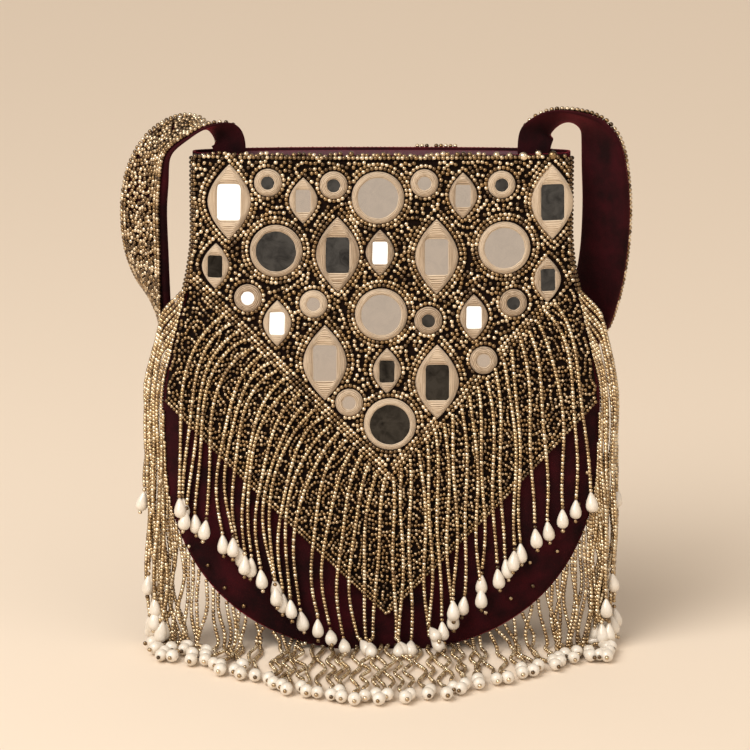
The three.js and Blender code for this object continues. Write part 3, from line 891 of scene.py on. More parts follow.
def thread_frame(mirror, rng):
    """A padded ring of wrapped threads from the mirror's glass out to the frame's rim, its tone painted
    lighter on each wrap's crest and darker between wraps.
    """
    wraps = 5 if mirror.round else (9 if mirror.large else 7)
    rows = wraps * 4 + 1
    seed = rng.uniform(0, 100)

    def place(u, v):
        angle = -2 * math.pi * u
        inner = np.array(mirror.window(angle))
        outer = np.array(mirror.rim(angle))
        share = min(max((v * rows - 1) / (rows - 1), 0), 1)
        wander = noise.noise(Vector((seed + 3 * math.cos(angle), 3 * math.sin(angle), share * 2)))
        across, rise = inner + (outer - inner) * share + 0.22 * wander * (1 - share)
        crown = 1 - max(0.0, (share - 0.22) / 0.78) ** 2.2
        crown *= 0.8 + 0.2 * min(share / 0.22, 1)
        groove = abs(math.sin(math.pi * wraps * share + 0.5 * wander))
        height = FRAME_FOOT + (FRAME_RIDGE - FRAME_FOOT) * crown + 0.3 * groove
        if v * rows < 0.5:
            height = 0.2
        return mirror.centre + mirror.side * across + mirror.up * rise + mirror.out * height

    columns = 64 if mirror.large else 44
    made = cloth_grid("thread_frame", columns, rows, place, closed=True)
    tones = made.data.attributes.new("tone", "FLOAT", "POINT")
    base = rng.uniform(0.2, 0.36)
    spots = {}
    wound = made.data.uv_layers.active.data
    for loop in made.data.loops:
        spots[loop.vertex_index] = wound[loop.index].uv[1]
        wound[loop.index].uv[0] += seed
    # The tone rises on each wrap's crest and falls between wraps: painted light and painted shade over a
    # random tone per frame
    for index, across in spots.items():
        groove = abs(math.sin(math.pi * wraps * across))
        tones.data[index].value = base + 0.3 * groove
    return made


def join(name, parts):
    """Join parts into one piece."""
    deselect()
    for part in parts:
        part.select_set(True)
    bpy.context.view_layer.objects.active = parts[0]
    bpy.ops.object.join()
    made = bpy.context.object
    made.name = name
    return made


# Strap


def strap_route():
    """The strap's middle line as points, each with the way its beaded face looks."""
    end_x = STRAP_END_X
    end_y = float(room_half_depth(end_x + 10, MOUTH_HEIGHT)) - LAYER_GAP - 1.5 - 0.5

    def beside(drop, gap):
        return float(half_width(MOUTH_HEIGHT - drop)) + gap

    def behind(x, drop):
        return float(half_depth(x, MOUTH_HEIGHT - drop)) + VELVET + STRAP_BACK_CLEARANCE

    left = [
        ((-end_x, end_y), 16, (0, 1, 0)),
        ((-end_x, end_y), -5, (0, 1, 0)),
        ((-end_x - 5, end_y + 1), -10, (0.65, 0.45, 0.6)),
        ((-end_x - 18, end_y + 2), -12, (-0.02, -0.28, 0.96)),
        ((-end_x - 33, end_y + 3), -4, (-0.66, -0.42, 0.62)),
        ((-beside(16, 25), 5), 16, (-0.66, -0.72, 0.15)),
        ((-beside(43, 26), 9), 43, (-0.63, -0.77, 0)),
        ((-beside(70, 18), 17), 70, (-0.84, -0.48, -0.2)),
        ((-beside(91, 5), behind(beside(91, 0), 91) + 8), 91, (-0.9, 0.2, -0.35)),
        ((-beside(105, -17), behind(beside(105, -17), 105) + 6), 105, (-0.4, 0.85, -0.3)),
        ((-52, behind(52, 114)), 114, (-0.1, 0.99, -0.05)),
        ((0, behind(0, 118)), 118, (0, 1, 0)),
    ]
    right = [
        ((52, behind(52, 113)), 113, (0.1, 0.99, -0.05)),
        ((beside(103, -16), behind(beside(103, -16), 103) + 6), 103, (0.3, 0.93, -0.2)),
        ((beside(88, 2), behind(beside(88, 0), 88) + 8), 88, (0.6, 0.78, -0.1)),
        ((beside(68, 13), 18), 68, (0.68, 0.73, 0)),
        ((beside(43, 20), 10), 43, (0.66, 0.75, 0)),
        ((beside(16, 20), 6), 16, (0.68, 0.72, 0.1)),
        ((end_x + 31, end_y + 4), -10, (0.6, 0.5, 0.65)),
        ((end_x + 18, end_y + 3), -17, (-0.05, 0.3, 0.95)),
        ((end_x + 4, end_y + 1), -13, (-0.7, 0.6, 0.4)),
        ((end_x, end_y), -5, (0, 1, 0)),
        ((end_x, end_y), 16, (0, 1, 0)),
    ]
    route = left + right
    points = np.array([(*place, MOUTH_HEIGHT - drop) for place, drop, _ in route])
    return points, np.array([facing for _, _, facing in route], dtype=float)


def spline(points, share):
    """A point on the smooth centripetal curve through the points, each stretch taking an equal share."""
    last = len(points) - 1
    index = min(int(share * last), last - 1)
    along = share * last - index
    second, third = points[index], points[index + 1]
    first = points[index - 1] if index > 0 else 2 * points[0] - points[1]
    fourth = points[index + 2] if index + 2 <= last else 2 * points[last] - points[last - 1]
    pairs = ((first, second), (second, third), (third, fourth))
    before, middle, after = (max(np.linalg.norm(end - start) ** 0.5, 1e-4) for start, end in pairs)
    leave = (second - first) / before - (third - first) / (before + middle) + (third - second) / middle
    arrive = (third - second) / middle - (fourth - second) / (middle + after) + (fourth - third) / after
    leave, arrive = leave * middle, arrive * middle
    square, cube = along**2, along**3
    return (
        second
        + leave * along
        + (3 * (third - second) - 2 * leave - arrive) * square
        + (2 * (second - third) + leave + arrive) * cube
    )


class StrapLine:
    """The strap's middle line as rows of places and directions."""

    def __init__(self):
        points, facings = strap_route()
        shares = np.linspace(0, 1, STRAP_ROWS + 1)
        self.centre = smooth_path([spline(points, share) for share in shares], STRAP_SMOOTHING)
        facing = smooth_path([spline(facings, share) for share in shares], STRAP_SMOOTHING)
        self.along = unit(np.gradient(self.centre, axis=0))
        self.out = unit(facing - self.along * np.sum(facing * self.along, axis=1, keepdims=True))
        self.side = np.cross(self.along, self.out)
        self.run = run_of(self.centre)
        taper = smoothstep(np.minimum(shares, 1 - shares), 0, STRAP_TAPER)
        self.half = lerp(STRAP_END_WIDTH, STRAP_WIDTH, taper) / 2

    def at(self, rows, run):
        """Values of some rows at places along the run."""
        return along_path(run, self.run, rows)

    def half_at(self, run):
        """Half width of the strap at a place along the run."""
        return float(np.interp(run, self.run, self.half))


# Strands


class Strands:
    """Collects the beads, pearls and tip beads of a fringe."""

    def __init__(self, seed):
        self.rng = random.Random(seed)
        self.beads = []
        self.pearls = []
        self.tips = []

    def string(self, path, pearl_way):
        """Thread cut beads along a path, then hang a pearl and a tip bead the given way from its end."""
        size = sizes()
        pitch = size.cut_bead_length / MM
        run = run_of(path)
        spots = np.arange(pitch / 2, run[-1] - pitch / 4, pitch)
        centres, ahead, behind = (along_path(spots + shift, run, path) for shift in (0.0, 0.5, -0.5))
        rolls = np.array([[self.rng.gauss(0, 1) for _ in range(3)] for _ in spots])
        width = size.cut_bead / MM
        self.beads.append(bead_places(centres, ahead - behind, rolls, width, pitch * 0.97, self.rng, 0.05))
        way = unit(np.asarray(pearl_way, dtype=float))
        cap = path[-1] + way * 0.8
        cross = np.cross(way, [0.3, 1.0, 0.2])
        long = size.pearl_length / MM
        tip = size.tip_bead / MM
        top = cap + way * 0.7
        pearl = bead_places([top], [-way], [cross], size.pearl_width / MM, long, self.rng, 0.05)
        self.pearls.append(pearl)
        ends = [cap, top + way * (long + tip * 0.36)]
        self.tips.append(bead_places(ends, [way, way], [cross, cross], tip, tip, self.rng, 0.08))


def front_path(root_x, sweep, drift, long, rng):
    """A strand's way from the yoke's V edge, swept sideways at first and then hanging over the pouch."""
    step = 1.0
    x, z = root_x, float(yoke_edge(root_x)) + 0.6
    settle = rng.uniform(21, 29)
    sway = rng.uniform(0, 6.3)
    depth = 0.0
    points = []
    travelled = 0.0
    while travelled <= long and z > FLOOR_STRAND_HEIGHT:
        over_beads = smoothstep(z - float(lower_edge(x)), -6, 4)
        surface = float(half_depth(x, z)) + lerp(VELVET_LIFT, STRAND_LIFT, over_beads)
        depth = max(depth - 0.05, surface)
        points.append((x, -depth, z))
        lean = sweep / settle * math.exp(-travelled / settle)
        lean += 0.07 * math.sin(travelled / 11 + sway) + drift * float(smoothstep(travelled, long - 42, long))
        x += step * math.sin(lean)
        z -= step * math.cos(lean)
        travelled += step
    left = long - travelled
    if left > 1:
        way = rng.uniform(-0.5, 0.5)
        for run in np.arange(step, left, step):
            points.append((x + run * math.sin(way), -depth - run * math.cos(way), FLOOR_STRAND_HEIGHT + 1.0))
    return smooth_path(points)


def seam_points():
    """The front seam from the right side, under the base, to the left side."""
    heights = np.concatenate([np.linspace(FRINGE_TOP, 10, 400), np.linspace(10, 0, 300)[1:]])
    widths = half_width(heights)
    right = np.stack([widths, heights], axis=-1)
    base = np.stack([np.linspace(widths[-1], -widths[-1], 60)[1:-1], np.zeros(58)], axis=-1)
    left = right[::-1] * np.array([-1, 1])
    return np.vstack([right, base, left])


def edge_roots(spacing, rng):
    """Where the edge strands are sewn round the lower seam."""
    line = seam_points()
    run = run_of(line)
    roots = []
    place = spacing / 2
    while place < run[-1]:
        roots.append(along_path(place, run, line).tolist())
        place += spacing * rng.uniform(0.65, 1.35)
    return roots


def floor_target(x, rng):
    """Where a strand's end lies on the floor in front of the base."""
    target_x = max(-FLOOR_HALF_WIDTH, min(FLOOR_HALF_WIDTH, 1.05 * x + rng.gauss(0, 1.5)))
    reach = FLOOR_REACH * (1 - (target_x / FLOOR_FADE) ** 2) ** FLOOR_POWER
    return np.array([target_x, -GUSSET_BASE_DEPTH / 2 - 3 - reach * rng.uniform(0.93, 1.04)])


def spread_out(targets, gap):
    """Move floor targets apart until none is nearer to another than the gap."""
    targets = np.array(targets)
    for _ in range(60):
        for index in range(len(targets)):
            away = targets[index] - targets
            distance = np.linalg.norm(away, axis=1)
            distance[index] = gap * 9
            near = distance < gap
            if near.any():
                way = away[near] / np.maximum(distance[near], 0.01)[:, None]
                push = way * (gap - distance[near])[:, None]
                targets[index] += push.sum(axis=0) * 0.35
    return targets


def hanging_part(root, long, clear, rng):
    """The part of an edge strand that hangs down from the seam, outside the pouch, clear of its belly."""
    x, z = root
    side = 1 if x > 0 else -1
    y = -float(gusset_half_depth(z)) - 0.8
    lean = rng.uniform(-3.0, 5.0)
    forward = rng.uniform(1.0, 9.0)
    sway, swing, wave = rng.uniform(0, 6.3), rng.uniform(1.0, 4.0), rng.uniform(7, 12)
    if z > BELLY_HEIGHT:
        swing *= 0.35
    drop = min(long, max(z - FLOOR_STRAND_HEIGHT, 0.0))
    points = []
    widest = 0.0
    for run in np.arange(0, drop + 0.01, 1.0):
        share = float(smoothstep(run / max(drop * 0.75, 1.0)))
        height = max(z - run, FLOOR_STRAND_HEIGHT)
        start = float(smoothstep(run, 0, 16))
        if z > BELLY_HEIGHT:
            widest = max(widest, float(half_width(height)) + lerp(0.4, clear, start))
        out = max(abs(x) + lean * share, widest) + swing * math.sin(run / wave + sway) * share
        points.append((side * out, y - forward * share, height))
    if not points:
        points.append((x, y, FLOOR_STRAND_HEIGHT))
    return points, long - drop


def floor_part(start, target, long, rng):
    """The part of a strand that lies on the floor from a start to a target, its spare length in waves."""
    start = np.array(start)
    way = np.append(target - start[:2], 0.0)
    distance = float(np.linalg.norm(way))
    if distance > long:
        way *= long / distance
        distance = long
    waves = max(0.5, distance / rng.uniform(20, 34))
    phase = rng.uniform(0, 2 * math.pi)
    spare = max(long / max(distance, 1.0) - 1, 0.0)
    widest = min(2.8, distance / (math.pi * waves) * math.sqrt(spare))
    swing = rng.uniform(0.5, 1.0) * widest * rng.choice((-1, 1))
    across = unit(np.array([-way[1], way[0], 0.0]))
    layer = FLOOR_STRAND_HEIGHT + rng.choice((0.0, 0.3, 1.4))
    points = []
    for share in np.linspace(0, 1, max(int(distance), 4))[1:]:
        wave = swing * math.sin(2 * math.pi * waves * share + phase) * math.sin(math.pi * share) ** 0.5
        point = start + way * share + across * wave
        point[2] = lerp(layer, 3.4, float(smoothstep(share, 0.85, 1)))
        points.append(tuple(point))
    return points, way


# Operators


class PieceOperator:
    """What every piece's operator shares."""

    bl_options = {"REGISTER", "UNDO"}


class POTLI_OT_stage(PieceOperator, Operator):
    """Add the floor, the lights and the camera"""

    bl_idname = "potli.stage"
    bl_label = "Stage"

    def execute(self, context):
        deselect()
        bpy.ops.mesh.primitive_circle_add(vertices=64, radius=FLOOR_RADIUS, fill_type="NGON")
        floor = context.object
        floor.name = "floor"
        floor.data.materials.append(studio_paper())
        self.add_world(context)
        self.add_sun("key_sun", *KEY_SUN)
        self.add_sun("fill_sun", *FILL_SUN)
        self.add_panel("front_panel_light", *FRONT_PANEL)
        self.add_panel("top_panel_light", *TOP_PANEL)
        self.add_camera(context)
        return {"FINISHED"}

    def add_world(self, context):
        """A dim even sky that the camera sees as the backdrop's colour."""
        world = bpy.data.worlds.new("studio")
        context.scene.world = world
        context.scene.view_settings.view_transform = "Standard"
        world.use_nodes = True
        tree = world.node_tree
        tree.nodes.clear()
        path = add_node(tree, "ShaderNodeLightPath")
        light, seen = (
            add_node(tree, "ShaderNodeBackground", {"Color": linear(code), "Strength": strength})
            for code, strength in (SKY, BACKDROP)
        )
        mix = add_node(
            tree,
            "ShaderNodeMixShader",
            links={0: path.outputs["Is Camera Ray"], 1: light.outputs[0], 2: seen.outputs[0]},
        )
        add_node(tree, "ShaderNodeOutputWorld", links={"Surface": mix.outputs[0]})

    def add_sun(self, name, way, strength, angle, shade):
        """A broad sun lamp that shines from a direction."""
        lamp = bpy.data.lights.new(name, "SUN")
        lamp.energy = strength
        lamp.angle = math.radians(angle)
        lamp.color = linear(shade)[:3]
        made = bpy.data.objects.new(name, lamp)
        made.rotation_euler = Vector(way).to_track_quat("Z", "Y").to_euler()
        bpy.context.collection.objects.link(made)

    def add_panel(self, name, place, size, power):
        """A soft panel lamp that looks at the pouch."""
        lamp = bpy.data.lights.new(name, "AREA")
        lamp.shape = "RECTANGLE"
        lamp.size, lamp.size_y = size
        lamp.energy = power
        made = bpy.data.objects.new(name, lamp)
        made.location = place
        made.rotation_euler = (Vector(place) - VIEW_TARGET).to_track_quat("Z", "Y").to_euler()
        bpy.context.collection.objects.link(made)

    def add_camera(self, context):
        """The camera at the photograph's tilt and scale."""
        lens = bpy.data.cameras.new("camera")
        lens.lens = VIEW_LENS
        lens.sensor_width = SENSOR
        made = bpy.data.objects.new("camera", lens)
        back = Vector((0, -math.cos(VIEW_TILT), math.sin(VIEW_TILT)))
        made.location = VIEW_TARGET + back * VIEW_DISTANCE
        made.rotation_euler = back.to_track_quat("Z", "Y").to_euler()
        context.collection.objects.link(made)
        context.scene.camera = made


def outline_height(share):
    """Heights from the base to the mouth, closer together where the outline turns."""
    flat = math.acos((BELLY_HEIGHT / (BELLY_HEIGHT + BASE_PRESS)) ** (BASE_SQUARENESS / 2))
    if share < 0.5:
        angle = lerp(flat, math.pi / 2, share * 2)
        return BELLY_HEIGHT - (BELLY_HEIGHT + BASE_PRESS) * max(math.cos(angle), 0.0) ** (2 / BASE_SQUARENESS)
    return lerp(BELLY_HEIGHT, MOUTH_HEIGHT, share * 2 - 1)


class POTLI_OT_pouch(PieceOperator, Operator):
    """Model the velvet front, back and gusset of the pouch"""

    bl_idname = "potli.pouch"
    bl_label = "Velvet pouch"

    def execute(self, context):
        finish = velvet()
        for name, node, facing in (("front_velvet", "front_panel", -1), ("back_velvet", "back_panel", 1)):
            made = cloth_grid(name, 56, 72, self.panel_place(facing), VELVET)
            finish_piece(made, finish, "velvet", node)
        gusset = cloth_grid("gusset_velvet", 150, 14, self.gusset_place, VELVET)
        finish_piece(gusset, finish, "velvet", "gusset")
        return {"FINISHED"}

    def panel_place(self, facing):
        """Where the points of a panel go, its edge rolled in to the seam."""

        def place(u, v):
            height = outline_height(v)
            share = 1 - 2 * u if facing > 0 else 2 * u - 1
            x = share * float(half_width(height))
            roll = VELVET * (1 - abs(share) ** 14)
            soft = 0.35 * noise.noise(Vector((x / 31, height / 27, facing * 5)))
            depth = float(half_depth(x, height)) + roll + 0.2 + soft * (1 - share**4)
            return x, facing * depth, height

        return place

    def gusset_place(self, u, v):
        """Where the points of the gusset go: round the outline, slightly puffed between its seams."""
        if u < 0.5:
            side, height = 1, outline_height(1 - u / 0.44 if u < 0.44 else 0.0)
            flat = max(0.0, (u - 0.44) / 0.06)
        else:
            side, height = -1, outline_height(1 - (1 - u) / 0.44 if u > 0.56 else 0.0)
            flat = max(0.0, (0.56 - u) / 0.06)
        x = side * float(half_width(height)) * (1 - flat)
        puff = 1.1 * (1 - (2 * v - 1) ** 4) * float(smoothstep(height, 0, 30))
        y = float(gusset_half_depth(height)) * (2 * v - 1)
        return x + side * puff, y, height


class POTLI_OT_lining(PieceOperator, Operator):
    """Model the satin lining inside the pouch"""

    bl_idname = "potli.lining"
    bl_label = "Lining"

    def execute(self, context):
        made = cloth_grid("lining_pouch", 80, 40, self.place, 0.6, closed=True)
        finish_piece(made, satin(), "lining", "lining")
        return {"FINISHED"}

    def place(self, u, v):
        """Rings from the floor of the pouch up to the mouth, wound so that the inner face looks in."""
        height = lerp(6.0, MOUTH_HEIGHT - 1.2, v)
        inset = VELVET + LAYER_GAP
        half = float(half_width(height, inset))
        share = 1 - 4 * abs(u - 0.5)
        facing = 1 if u < 0.5 else -1
        depth = float(room_half_depth(share * half, height)) + 0.5
        return share * half, facing * depth, height


class POTLI_OT_yoke(PieceOperator, Operator):
    """Model the mirror yoke: its cloth, thread frames and sewn beads"""

    bl_idname = "potli.yoke"
    bl_label = "Mirror yoke"

    def execute(self, context):
        rng = random.Random(YOKE_SEED)
        cloth = cloth_grid("yoke_cloth", 60, 40, self.cloth_place, CLOTH_WALL)
        finish_piece(cloth, ground_cloth(), "gold_beads", "mirror_yoke")
        frames = mirror_frames()
        rings = join("thread_frames", [thread_frame(mirror, rng) for mirror in frames])
        finish_piece(rings, cotton_thread(), "gold_beads")
        size = sizes()
        width = size.seed_bead / MM
        pattern = self.sew(frames, width, rng)
        places = [pattern.places(BEAD_LIFT, width, width * BARREL, rng), self.side_rows(width, rng)]
        beads = stamp("yoke_beads", seed_bead_shape(), places)
        finish_piece(beads, seed_glass(), "gold_beads")
        edge = stamp("mouth_beads", round_bead_shape(), [self.mouth_row(size, rng)])
        finish_piece(edge, seed_glass(), "gold_beads")
        return {"FINISHED"}

    def cloth_place(self, u, v):
        """The yoke's cloth from its V edge up to the mouth."""
        reach = float(half_width(YOKE_SIDE_HEIGHT)) - EDGE_MARGIN
        x = lerp(-reach, reach, u)
        low = float(yoke_edge(x))
        height = lerp(low, MOUTH_HEIGHT - 0.5, v)
        x *= (float(half_width(height)) - EDGE_MARGIN) / reach if abs(x) > 0.5 * reach else 1.0
        point, _ = panel_points(x, height, CLOTH_LIFT)
        return tuple(point)

    def sew(self, frames, width, rng):
        """Sew rows along the edges and round the frames, then fill the rest with short runs."""

        def inside(x, z):
            if z > MOUTH_HEIGHT - 0.6 or abs(x) > float(half_width(z)) - 0.4 or z < float(yoke_edge(x)) + 0.8:
                return False
            return not any(mirror.covers(x, z, 0.75) for mirror in frames)

        pattern = BeadPattern(inside, width * 0.84)
        pitch = width * 0.94
        reach = float(half_width(YOKE_SIDE_HEIGHT)) - EDGE_MARGIN
        for row in range(3):
            pattern.sew_row(offset_v(yoke_edge, 0.95 + row * 1.85, reach), pitch)
        for mirror in frames:
            for grow in (1.1, 2.95) if mirror.large else (1.1,):
                angles = np.linspace(0, 2 * math.pi, 90)
                rim = [np.array(mirror.rim(angle, grow)) + mirror.centre[[0, 2]] for angle in angles]
                pattern.sew_row(rim, pitch)
        top = MOUTH_HEIGHT - 1.3
        pattern.sew_row([(-MOUTH_HALF_WIDTH, top), (MOUTH_HALF_WIDTH, top)], pitch)
        low = (-MOUTH_HALF_WIDTH - 6, YOKE_TIP[1])
        high = (MOUTH_HALF_WIDTH + 6, MOUTH_HEIGHT)
        pattern.sew_runs(low, high, YOKE_TRIES, YOKE_RUN, pitch, rng)
        return pattern

    def side_rows(self, width, rng):
        """Rows of beads where the yoke turns round the side seams, their tones cut as painted shade."""
        centres, alongs, outs = [], [], []
        for side in (-1, 1):
            for turn in (0.25, 0.6, 0.95):
                for height in np.arange(YOKE_SIDE_HEIGHT - 3, MOUTH_HEIGHT - 0.5, width * 0.92):
                    angle = turn * math.pi / 2
                    out = np.array([side * math.sin(angle), -math.cos(angle), 0])
                    corner = np.array([side * (float(half_width(height)) - 0.9), 0.0, height])
                    corner[1] = -float(gusset_half_depth(height)) - 0.4
                    centres.append(corner + out * 2.5)
                    alongs.append((0, 0, 1))
                    outs.append(out)
        rows = bead_places(centres, alongs, outs, width, width, rng)
        # Cutting these beads' tones paints shade where the yoke turns away round the sides
        rows[:, -1] *= SIDE_PAINTED_SHADE
        return rows

    def mouth_row(self, size, rng):
        """Round beads on the mouth edge, with a few large ones towards the right corner."""
        large = size.edge_bead / MM
        spots = [(x, size.seed_bead / MM * 1.12) for x in np.arange(-84, 50, 2.5)]
        spots += [(x, large * share) for x, share in LARGE_MOUTH_BEADS]
        places = []
        for x, width in spots:
            height = MOUTH_HEIGHT + rng.uniform(-1.0, 0.8)
            width *= rng.uniform(0.85, 1.15)
            centre, out = panel_points(x + rng.uniform(-0.5, 0.5), height, 1.4 + width * 0.3)
            places.append(bead_places([centre], [(1, 0, 0.2)], [out], width, width, rng))
        return np.vstack(places)


class POTLI_OT_lower_panel(PieceOperator, Operator):
    """Model the lower bead panel and the single beads on the velvet"""

    bl_idname = "potli.lower_panel"
    bl_label = "Lower bead panel"

    def execute(self, context):
        rng = random.Random(LOWER_SEED)
        cloth = cloth_grid("lower_cloth", 60, 30, self.cloth_place, CLOTH_WALL)
        finish_piece(cloth, ground_cloth(), "gold_beads", "lower_bead_panel")
        width = sizes().panel_bead / MM
        pattern = self.sew(width, rng)
        sewn = pattern.places(BEAD_LIFT, width, width * BARREL, rng)
        sewn[:, -1] *= LOWER_TONE
        places = [sewn, self.single_beads(rng)]
        beads = stamp("lower_beads", seed_bead_shape(), places)
        finish_piece(beads, seed_glass(), "gold_beads")
        return {"FINISHED"}

    def cloth_place(self, u, v):
        """The lower panel's cloth from its V edge up to just under the yoke."""
        x = lerp(-1, 1, u) * (float(half_width(LOWER_SIDE_HEIGHT)) - EDGE_MARGIN)
        low = float(lower_edge(x))
        high = max(float(yoke_edge(x)) - 0.5, low + 1.0)
        height = lerp(low, min(high, YOKE_SIDE_HEIGHT - 2), v)
        limit = float(half_width(height)) - EDGE_MARGIN
        x = max(-limit, min(limit, x))
        point, _ = panel_points(x, height, CLOTH_LIFT)
        return tuple(point)

    def sew(self, width, rng):
        """Sew two rows along the V edge, then fill the panel with wandering runs."""

        def inside(x, z):
            if abs(x) > float(half_width(z)) - 2.0:
                return False
            return float(lower_edge(x)) + 0.8 < z < float(yoke_edge(x)) - 0.6

        pattern = BeadPattern(inside, width * 0.9)
        pitch = width * 0.9
        reach = float(half_width(LOWER_SIDE_HEIGHT)) - EDGE_MARGIN
        for row in range(2):
            pattern.sew_row(offset_v(lower_edge, 0.9 + row * 1.8, reach), pitch)
        low = (-BELLY_HALF_WIDTH, LOWER_TIP[1])
        high = (BELLY_HALF_WIDTH, YOKE_SIDE_HEIGHT)
        pattern.sew_runs(low, high, LOWER_TRIES, LOWER_RUN, pitch, rng)
        return pattern

    def single_beads(self, rng):
        """Single beads scattered on the bare velvet."""
        x, z = np.array(SINGLE_BEADS, dtype=float).T
        centres, outs = panel_points(x, z, np.full_like(x, VELVET + 1.0))
        alongs = [(rng.gauss(0, 1), 0.1, rng.gauss(0, 1)) for _ in SINGLE_BEADS]
        return bead_places(centres, alongs, outs, 2.3, 2.2, rng)


class POTLI_OT_back_border(PieceOperator, Operator):
    """Model the beaded border of the back mouth edge"""

    bl_idname = "potli.back_border"
    bl_label = "Back border"

    def execute(self, context):
        rng = random.Random(BACK_SEED)
        width = sizes().seed_bead / MM
        pattern = BeadPattern(lambda x, z: abs(x) < MOUTH_HALF_WIDTH - 7.5, width * 0.9)
        for drop in np.arange(1.3, 7.4, width * 0.93):
            ends = [(-MOUTH_HALF_WIDTH, MOUTH_HEIGHT - drop), (MOUTH_HALF_WIDTH, MOUTH_HEIGHT - drop)]
            pattern.sew_row(ends, width * 0.9)
        lifted = MOUTH_HEIGHT + 0.4
        pattern.sew_row([(16, lifted), (37, lifted)], width)
        places = [pattern.places(VELVET + 0.95, width, width, rng, facing=1)]
        beads = stamp("back_border_beads", seed_bead_shape(), places)
        finish_piece(beads, seed_glass(), "gold_beads", "back_bead_border")
        return {"FINISHED"}


class POTLI_OT_strap(PieceOperator, Operator):
    """Model the padded velvet strap and its sewn beads"""

    bl_idname = "potli.strap"
    bl_label = "Strap"

    def execute(self, context):
        rng = random.Random(STRAP_SEED)
        line = StrapLine()
        band = cloth_grid("strap_band", 32, STRAP_ROWS, self.band_place(line), closed=True)
        soft = band.modifiers.new("soft", "SMOOTH")
        soft.iterations = STRAP_SOFTENING
        bpy.ops.object.modifier_apply(modifier=soft.name)
        in_edit_mode(band, lambda: bpy.ops.mesh.fill_holes(sides=0))
        finish_piece(band, velvet(), "velvet", "strap_velvet")
        width = sizes().seed_bead / MM
        beads = stamp("strap_beads", seed_bead_shape(), [self.bead_rows(line, width, rng)])
        finish_piece(beads, seed_glass(), "gold_beads", "strap_beading")
        return {"FINISHED"}

    def band_place(self, line):
        """A flat tube round the strap's line, thin where it is sewn in, creased on its inner face."""

        def place(u, v):
            row = min(int(round(v * STRAP_ROWS)), STRAP_ROWS)
            run = line.run[row]
            from_end = min(run, line.run[-1] - run)
            angle = -2 * math.pi * u
            thick = lerp(*STRAP_THICKNESS, float(smoothstep(from_end, *STRAP_PADDING)))
            across = math.copysign(abs(math.cos(angle)) ** 0.45, math.cos(angle)) * (line.half[row] + 0.3)
            rise = math.copysign(abs(math.sin(angle)) ** 0.6, math.sin(angle)) * thick / 2
            crease = noise.noise(Vector((run / 26, across / 5.5, 2.7)))
            crease *= float(smoothstep(from_end, 18, 40)) * max(-math.sin(angle), 0)
            up = 0.2 - thick / 2 + rise + crease
            return line.centre[row] + line.side[row] * across + line.out[row] * up

        return place

    def bead_rows(self, line, width, rng):
        """Two bead rows along each edge, and close short runs between them."""
        total = float(line.run[-1])

        def inside(along, across):
            if along < STRAP_SEWN or along > total - STRAP_SEWN:
                return False
            return abs(across) < line.half_at(along) - 1.4

        pattern = BeadPattern(inside, width * 0.76)
        pitch = width * 0.88
        places = np.arange(0, total, 2.0)
        for side in (-1, 1):
            for inset in (1.8, 3.7):
                edge = [(along, side * (line.half_at(along) - inset)) for along in places]
                pattern.sew_row(edge, pitch)
        low, high = (0.0, -STRAP_WIDTH / 2), (total, STRAP_WIDTH / 2)
        pattern.sew_runs(low, high, STRAP_TRIES, STRAP_RUN, pitch, rng)
        run, across, heading = np.array(pattern.beads).T
        side, along, out = (line.at(rows, run) for rows in (line.side, line.along, line.out))
        centres = line.at(line.centre, run) + side * across[:, None] + out * STRAP_BEAD_LIFT
        ways = along * np.cos(heading)[:, None] + side * np.sin(heading)[:, None]
        return bead_places(centres, ways, out, width, width * BARREL, rng)


def finish_strands(strands, name, node):
    """Stamp a fringe's beads, pearls and tip beads as three pieces."""
    beads = stamp(f"{name}_strands", cut_bead_shape(), strands.beads)
    finish_piece(beads, strand_glass(), "strand_beads", node)
    pearls = stamp(f"{name}_pearls", drop_pearl_shape(), strands.pearls)
    finish_piece(pearls, ivory_pearl(), "strand_beads")
    tips = stamp(f"{name}_tips", seed_bead_shape(), strands.tips)
    finish_piece(tips, seed_glass(), "strand_beads")


class POTLI_OT_front_fringe(PieceOperator, Operator):
    """String the two arms of the front fringe"""

    bl_idname = "potli.front_fringe"
    bl_label = "Front fringe"

    def execute(self, context):
        size = sizes()
        for side, count, reach in ((-1, size.left_strands, LEFT_REACH), (1, size.right_strands, RIGHT_REACH)):
            strands = Strands(FRONT_SEED + side)
            for index in range(count):
                share = (index + 0.5) / count
                root = lerp(YOKE_TIP[0], side * reach, share)
                self.string(strands, root, self.sweep(side, share, strands.rng), index)
            word = "left" if side < 0 else "right"
            finish_strands(strands, f"front_{word}", f"front_fringe_{word}")
        return {"FINISHED"}

    def sweep(self, side, share, rng):
        """How far a strand is swept sideways: far on the left arm, little on the right one's middle."""
        if side < 0:
            return -lerp(5, 25, float(smoothstep(share, 0.0, 0.35))) + rng.gauss(0, 0.7)
        return lerp(1, 7, share) + 12 * float(smoothstep(share, 0.7, 1.0)) + rng.gauss(0, 0.9)

    def string(self, strands, root, sweep, index):
        """One strand with its pearl."""
        rng = strands.rng
        long = sizes().strand / MM + rng.uniform(-2.2, 2.2)
        drift = rng.gauss(0.2, 0.05) if -60 < root < 0 else rng.uniform(-0.08, 0.08)
        path = front_path(root, sweep, drift, long, rng)
        forward = 0.9 + 1.9 * (index % 2)
        path[-8:, 1] -= np.linspace(0, forward, 8)
        last = unit(path[-1] - path[-6])
        way = last * 0.6 + np.array([rng.gauss(0, 0.08), -0.05, -0.4])
        if path[-1][2] < HANGING_END:
            way = np.array([rng.uniform(-0.1, 0.5), -0.6, -0.3])
            path[:, 2] = np.maximum(path[:, 2], RESTING_END)
        strands.string(path, way)


